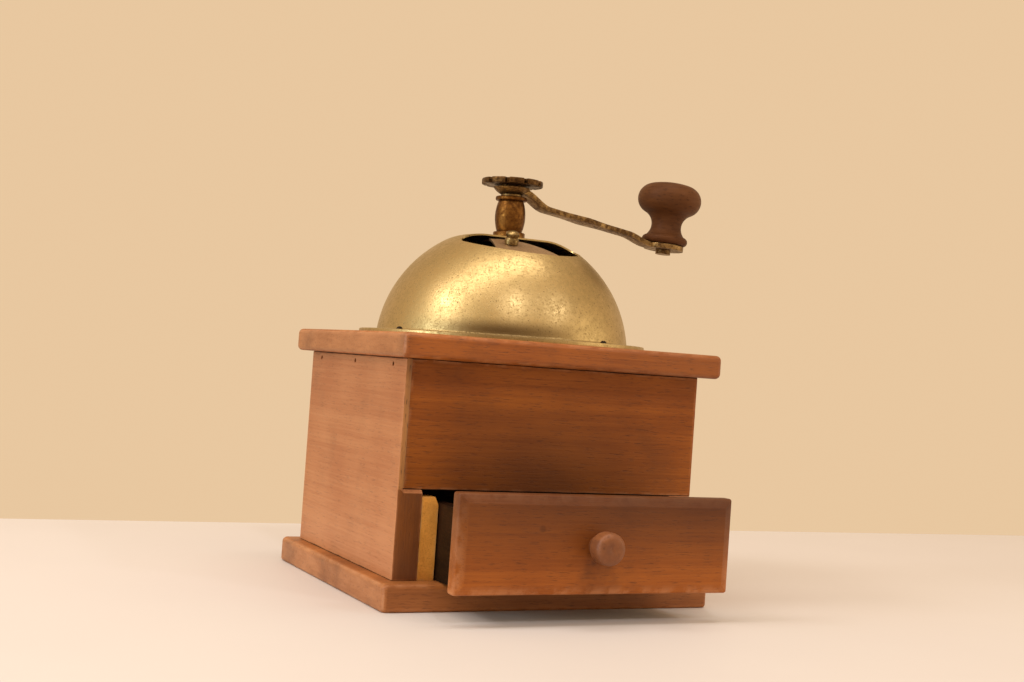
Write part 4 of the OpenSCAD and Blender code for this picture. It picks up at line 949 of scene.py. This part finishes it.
knob_rub = 2.0 * mm
knob_draw = (110.0, 110.0, 620.0)
knob_stain = ((0.135, 0.054, 0.019, 1), (0.064, 0.023, 0.0085, 1), (0.22, 0.105, 0.06, 1))
knob_wood = stained_wood("knob_wood", "crank_knob", knob_stain, knob_draw, knob_rub, 0.5, 0.4, sheen=0.06)
set_down("turned_knob", bm, knob_wood, "handle_knob", ["crank_knob", "knob_plug"], 38)

# Pins, washers, nuts, nails and screws.
# Small hardware: brown brass pin, washer, nut and bush, blackened steel screws and nails. The four screws
# in the dome's flange have small round heads with a sawn slot.
black_steel = old_metal("blackened_steel", (0.03, 0.021, 0.015, 1), (0.014, 0.009, 0.006, 1),
                        (0.045, 0.018, 0.008, 1), 0.6, 0.45, 0.65, 0.25, 1.5)
for node in ("knob_pin", "thrust_washer", "pillar_nut", "bridge_bush"):
    dress(node, arm_brass)
for node in ("side_nails", "base_screws", "housing_screws"):
    dress(node, black_steel)
screw_r = 1.2 * mm
screw_rise = 1.0 * mm
screw_sunk = 0.2 * mm
screw_turn = 19
slot_half = 0.2 * mm
slot_deep = 0.3 * mm
slot_turn = math.radians(35)
screw_at = (dome_r + flange_r) / 2 + 0.5 * mm
screw_crown = (screw_r ** 2 + screw_rise ** 2) / (2 * screw_rise)
screw_tip = math.degrees(math.asin(screw_r / screw_crown))
profile = arc(0, screw_rise - screw_crown, screw_crown, 0, screw_tip, 6)
profile += [(screw_r, -screw_sunk), (0, -screw_sunk)]
slot = [Vector((x * screw_r, y * slot_half, 0)) for x, y in ((-2, -1), (2, -1), (2, 1), (-2, 1))]
heads = bmesh.new()
for quarter in range(4):
    bm = turned(profile, 24)
    groove = scribe(bm, [f for f in bm.faces if f.normal.z > 0.3], slot, Vector((0, 0, 1)))
    for v in {v for f in groove for v in f.verts if abs(v.co.y) < 0.6 * slot_half}:
        v.co.z -= slot_deep
    stands = Matrix.Rotation(math.radians(screw_turn + 90 * quarter), 4, "Z")
    stands = stands @ Matrix.Translation((0, -screw_at, flange_top)) @ Matrix.Rotation(slot_turn, 4, "Z")
    bmesh.ops.transform(bm, matrix=stands, verts=bm.verts)
    join(heads, bm)
set_down("flange_screw_heads", heads, black_steel, "mill_body", ["flange_screws"], 35)

# Hopper dish and the grinding parts.
# A tinned dish leads the beans from the dome to the throat. Below it hang a cast-iron housing with its
# toothed ring, the toothed cone on its steel shaft, and the bent strap that carries the lower bearing.
tinned = old_metal("dull_tin", (0.5, 0.47, 0.42, 1), (0.3, 0.27, 0.23, 1), (0.14, 0.08, 0.04, 1),
                   0.5, 0.38, 0.55, 0.15)
cast_iron = old_metal("cast_iron", (0.14, 0.13, 0.12, 1), (0.075, 0.068, 0.06, 1), (0.12, 0.05, 0.025, 1),
                      0.5, 0.5, 0.7, 0.5, 1.2)
shaft_steel = old_metal("shaft_steel", (0.34, 0.32, 0.29, 1), (0.19, 0.165, 0.14, 1), (0.1, 0.045, 0.02, 1),
                        0.5, 0.32, 0.5, 0.15)
for nodes, metal in ((("hopper_dish", "spring_washer"), tinned),
                     (("burr_housing", "outer_burr", "inner_burr"), cast_iron),
                     (("bearing_bridge", "grinding_shaft", "burr_pin"), shaft_steel)):
    for node in nodes:
        dress(node, metal)

# Floor.
# A pale warm table top that ends behind the mill, with the plain cream of the room beyond it.
table_half_wide = 3.0
table_half_deep = 1.5
table_back = 0.171
table_turn = math.radians(-1.7)
floor_paint = bpy.data.materials.new("pale_table")
floor_paint.use_nodes = True
tree = floor_paint.node_tree
shader = tree.nodes["Principled BSDF"]
haze = noise(tree, put(tree, "ShaderNodeTexCoord", {}).outputs["Object"], 7.0, 4.0)
paint = blend_colours(tree, haze, (0.63, 0.585, 0.555, 1), (0.68, 0.64, 0.61, 1))
tree.links.new(paint, shader.inputs["Base Color"])
shader.inputs["Roughness"].default_value = 0.6
bm = bmesh.new()
bmesh.ops.create_grid(bm, x_segments=1, y_segments=1, size=1.0)
bmesh.ops.scale(bm, vec=(table_half_wide, table_half_deep, 1.0), verts=bm.verts)
bmesh.ops.translate(bm, vec=(0, table_back - table_half_deep, 0), verts=bm.verts)
bmesh.ops.rotate(bm, cent=(0, table_back, 0), matrix=Matrix.Rotation(table_turn, 3, "Z"), verts=bm.verts)
floor_mesh = bpy.data.meshes.new("table")
bm.to_mesh(floor_mesh)
bm.free()
floor_mesh.materials.append(floor_paint)
floor = bpy.data.objects.new("table", floor_mesh)
bpy.context.scene.collection.objects.link(floor)

# Light.
# A long soft lamp overhead, two from the left and a warm fill from the right light the boards. Two small
# lamps in front show as soft spots on the dome, and the room adds its even cream light.
room_cream = (0.81, 0.575, 0.35, 1)
room = bpy.data.worlds.new("cream_room")
room.use_nodes = True
room.node_tree.nodes["Background"].inputs["Color"].default_value = room_cream
room.node_tree.nodes["Background"].inputs["Strength"].default_value = 1.0
bpy.context.scene.world = room
bpy.context.scene.view_settings.view_transform = "Standard"
lamp_aim = Vector((0, 0, 0.1))
for name, way, far, wide, deep, power, tint in (
        ("ceiling_strip", (-0.2, -0.12, 0.97), 1.0, 1.5, 0.3, 5.3, (1.0, 0.95, 0.9)),
        ("left_lamp", (-0.8, -0.04, 0.6), 1.1, 0.34, 0.34, 3.2, (1.0, 0.955, 0.95)),
        ("low_left_lamp", (-0.98, -0.05, 0.12), 1.1, 0.5, 0.5, 4.0, (0.72, 0.9, 1.0)),
        ("front_lamp", (-0.168, -0.71, 0.684), 1.2, 0.1, 0.1, 1.6, (0.98, 0.98, 1.05)),
        ("right_lamp", (0.409, -0.686, 0.602), 1.2, 0.1, 0.1, 1.15, (0.98, 0.98, 1.05)),
        ("right_fill", (0.85, -0.5, 0.12), 1.2, 0.8, 0.8, 2.0, (1.0, 0.92, 0.76))):
    lamp = bpy.data.lights.new(name, "AREA")
    lamp.shape = "ELLIPSE"
    lamp.size = wide
    lamp.size_y = deep
    lamp.energy = power
    lamp.color = tint
    stand = bpy.data.objects.new(name, lamp)
    back = Vector(way).normalized()
    side = Vector((back.z, 0.0, -back.x)).normalized()
    facing = Matrix((side, back.cross(side), back)).transposed()
    stand.matrix_world = Matrix.Translation(lamp_aim + far * back) @ facing.to_4x4()
    bpy.context.scene.collection.objects.link(stand)

# Camera.
# It stands to the left of the mill's front, just under the height of the top board, and looks slightly up
# with a small roll.
camera_at = (-0.24031, -0.49653, 0.08692)
yaw = math.radians(-26.26)
pitch = math.radians(90 + 0.898)
roll = math.radians(4.029)
lens = bpy.data.cameras.new("view")
lens.sensor_width = 36.0
lens.lens = 49.187
lens.clip_start = 0.01
eye = bpy.data.objects.new("view", lens)
turn = Matrix.Rotation(yaw, 4, "Z") @ Matrix.Rotation(pitch, 4, "X") @ Matrix.Rotation(roll, 4, "Z")
eye.matrix_world = Matrix.Translation(camera_at) @ turn
bpy.context.scene.collection.objects.link(eye)
bpy.context.scene.camera = eye

bpy.context.view_layer.update()
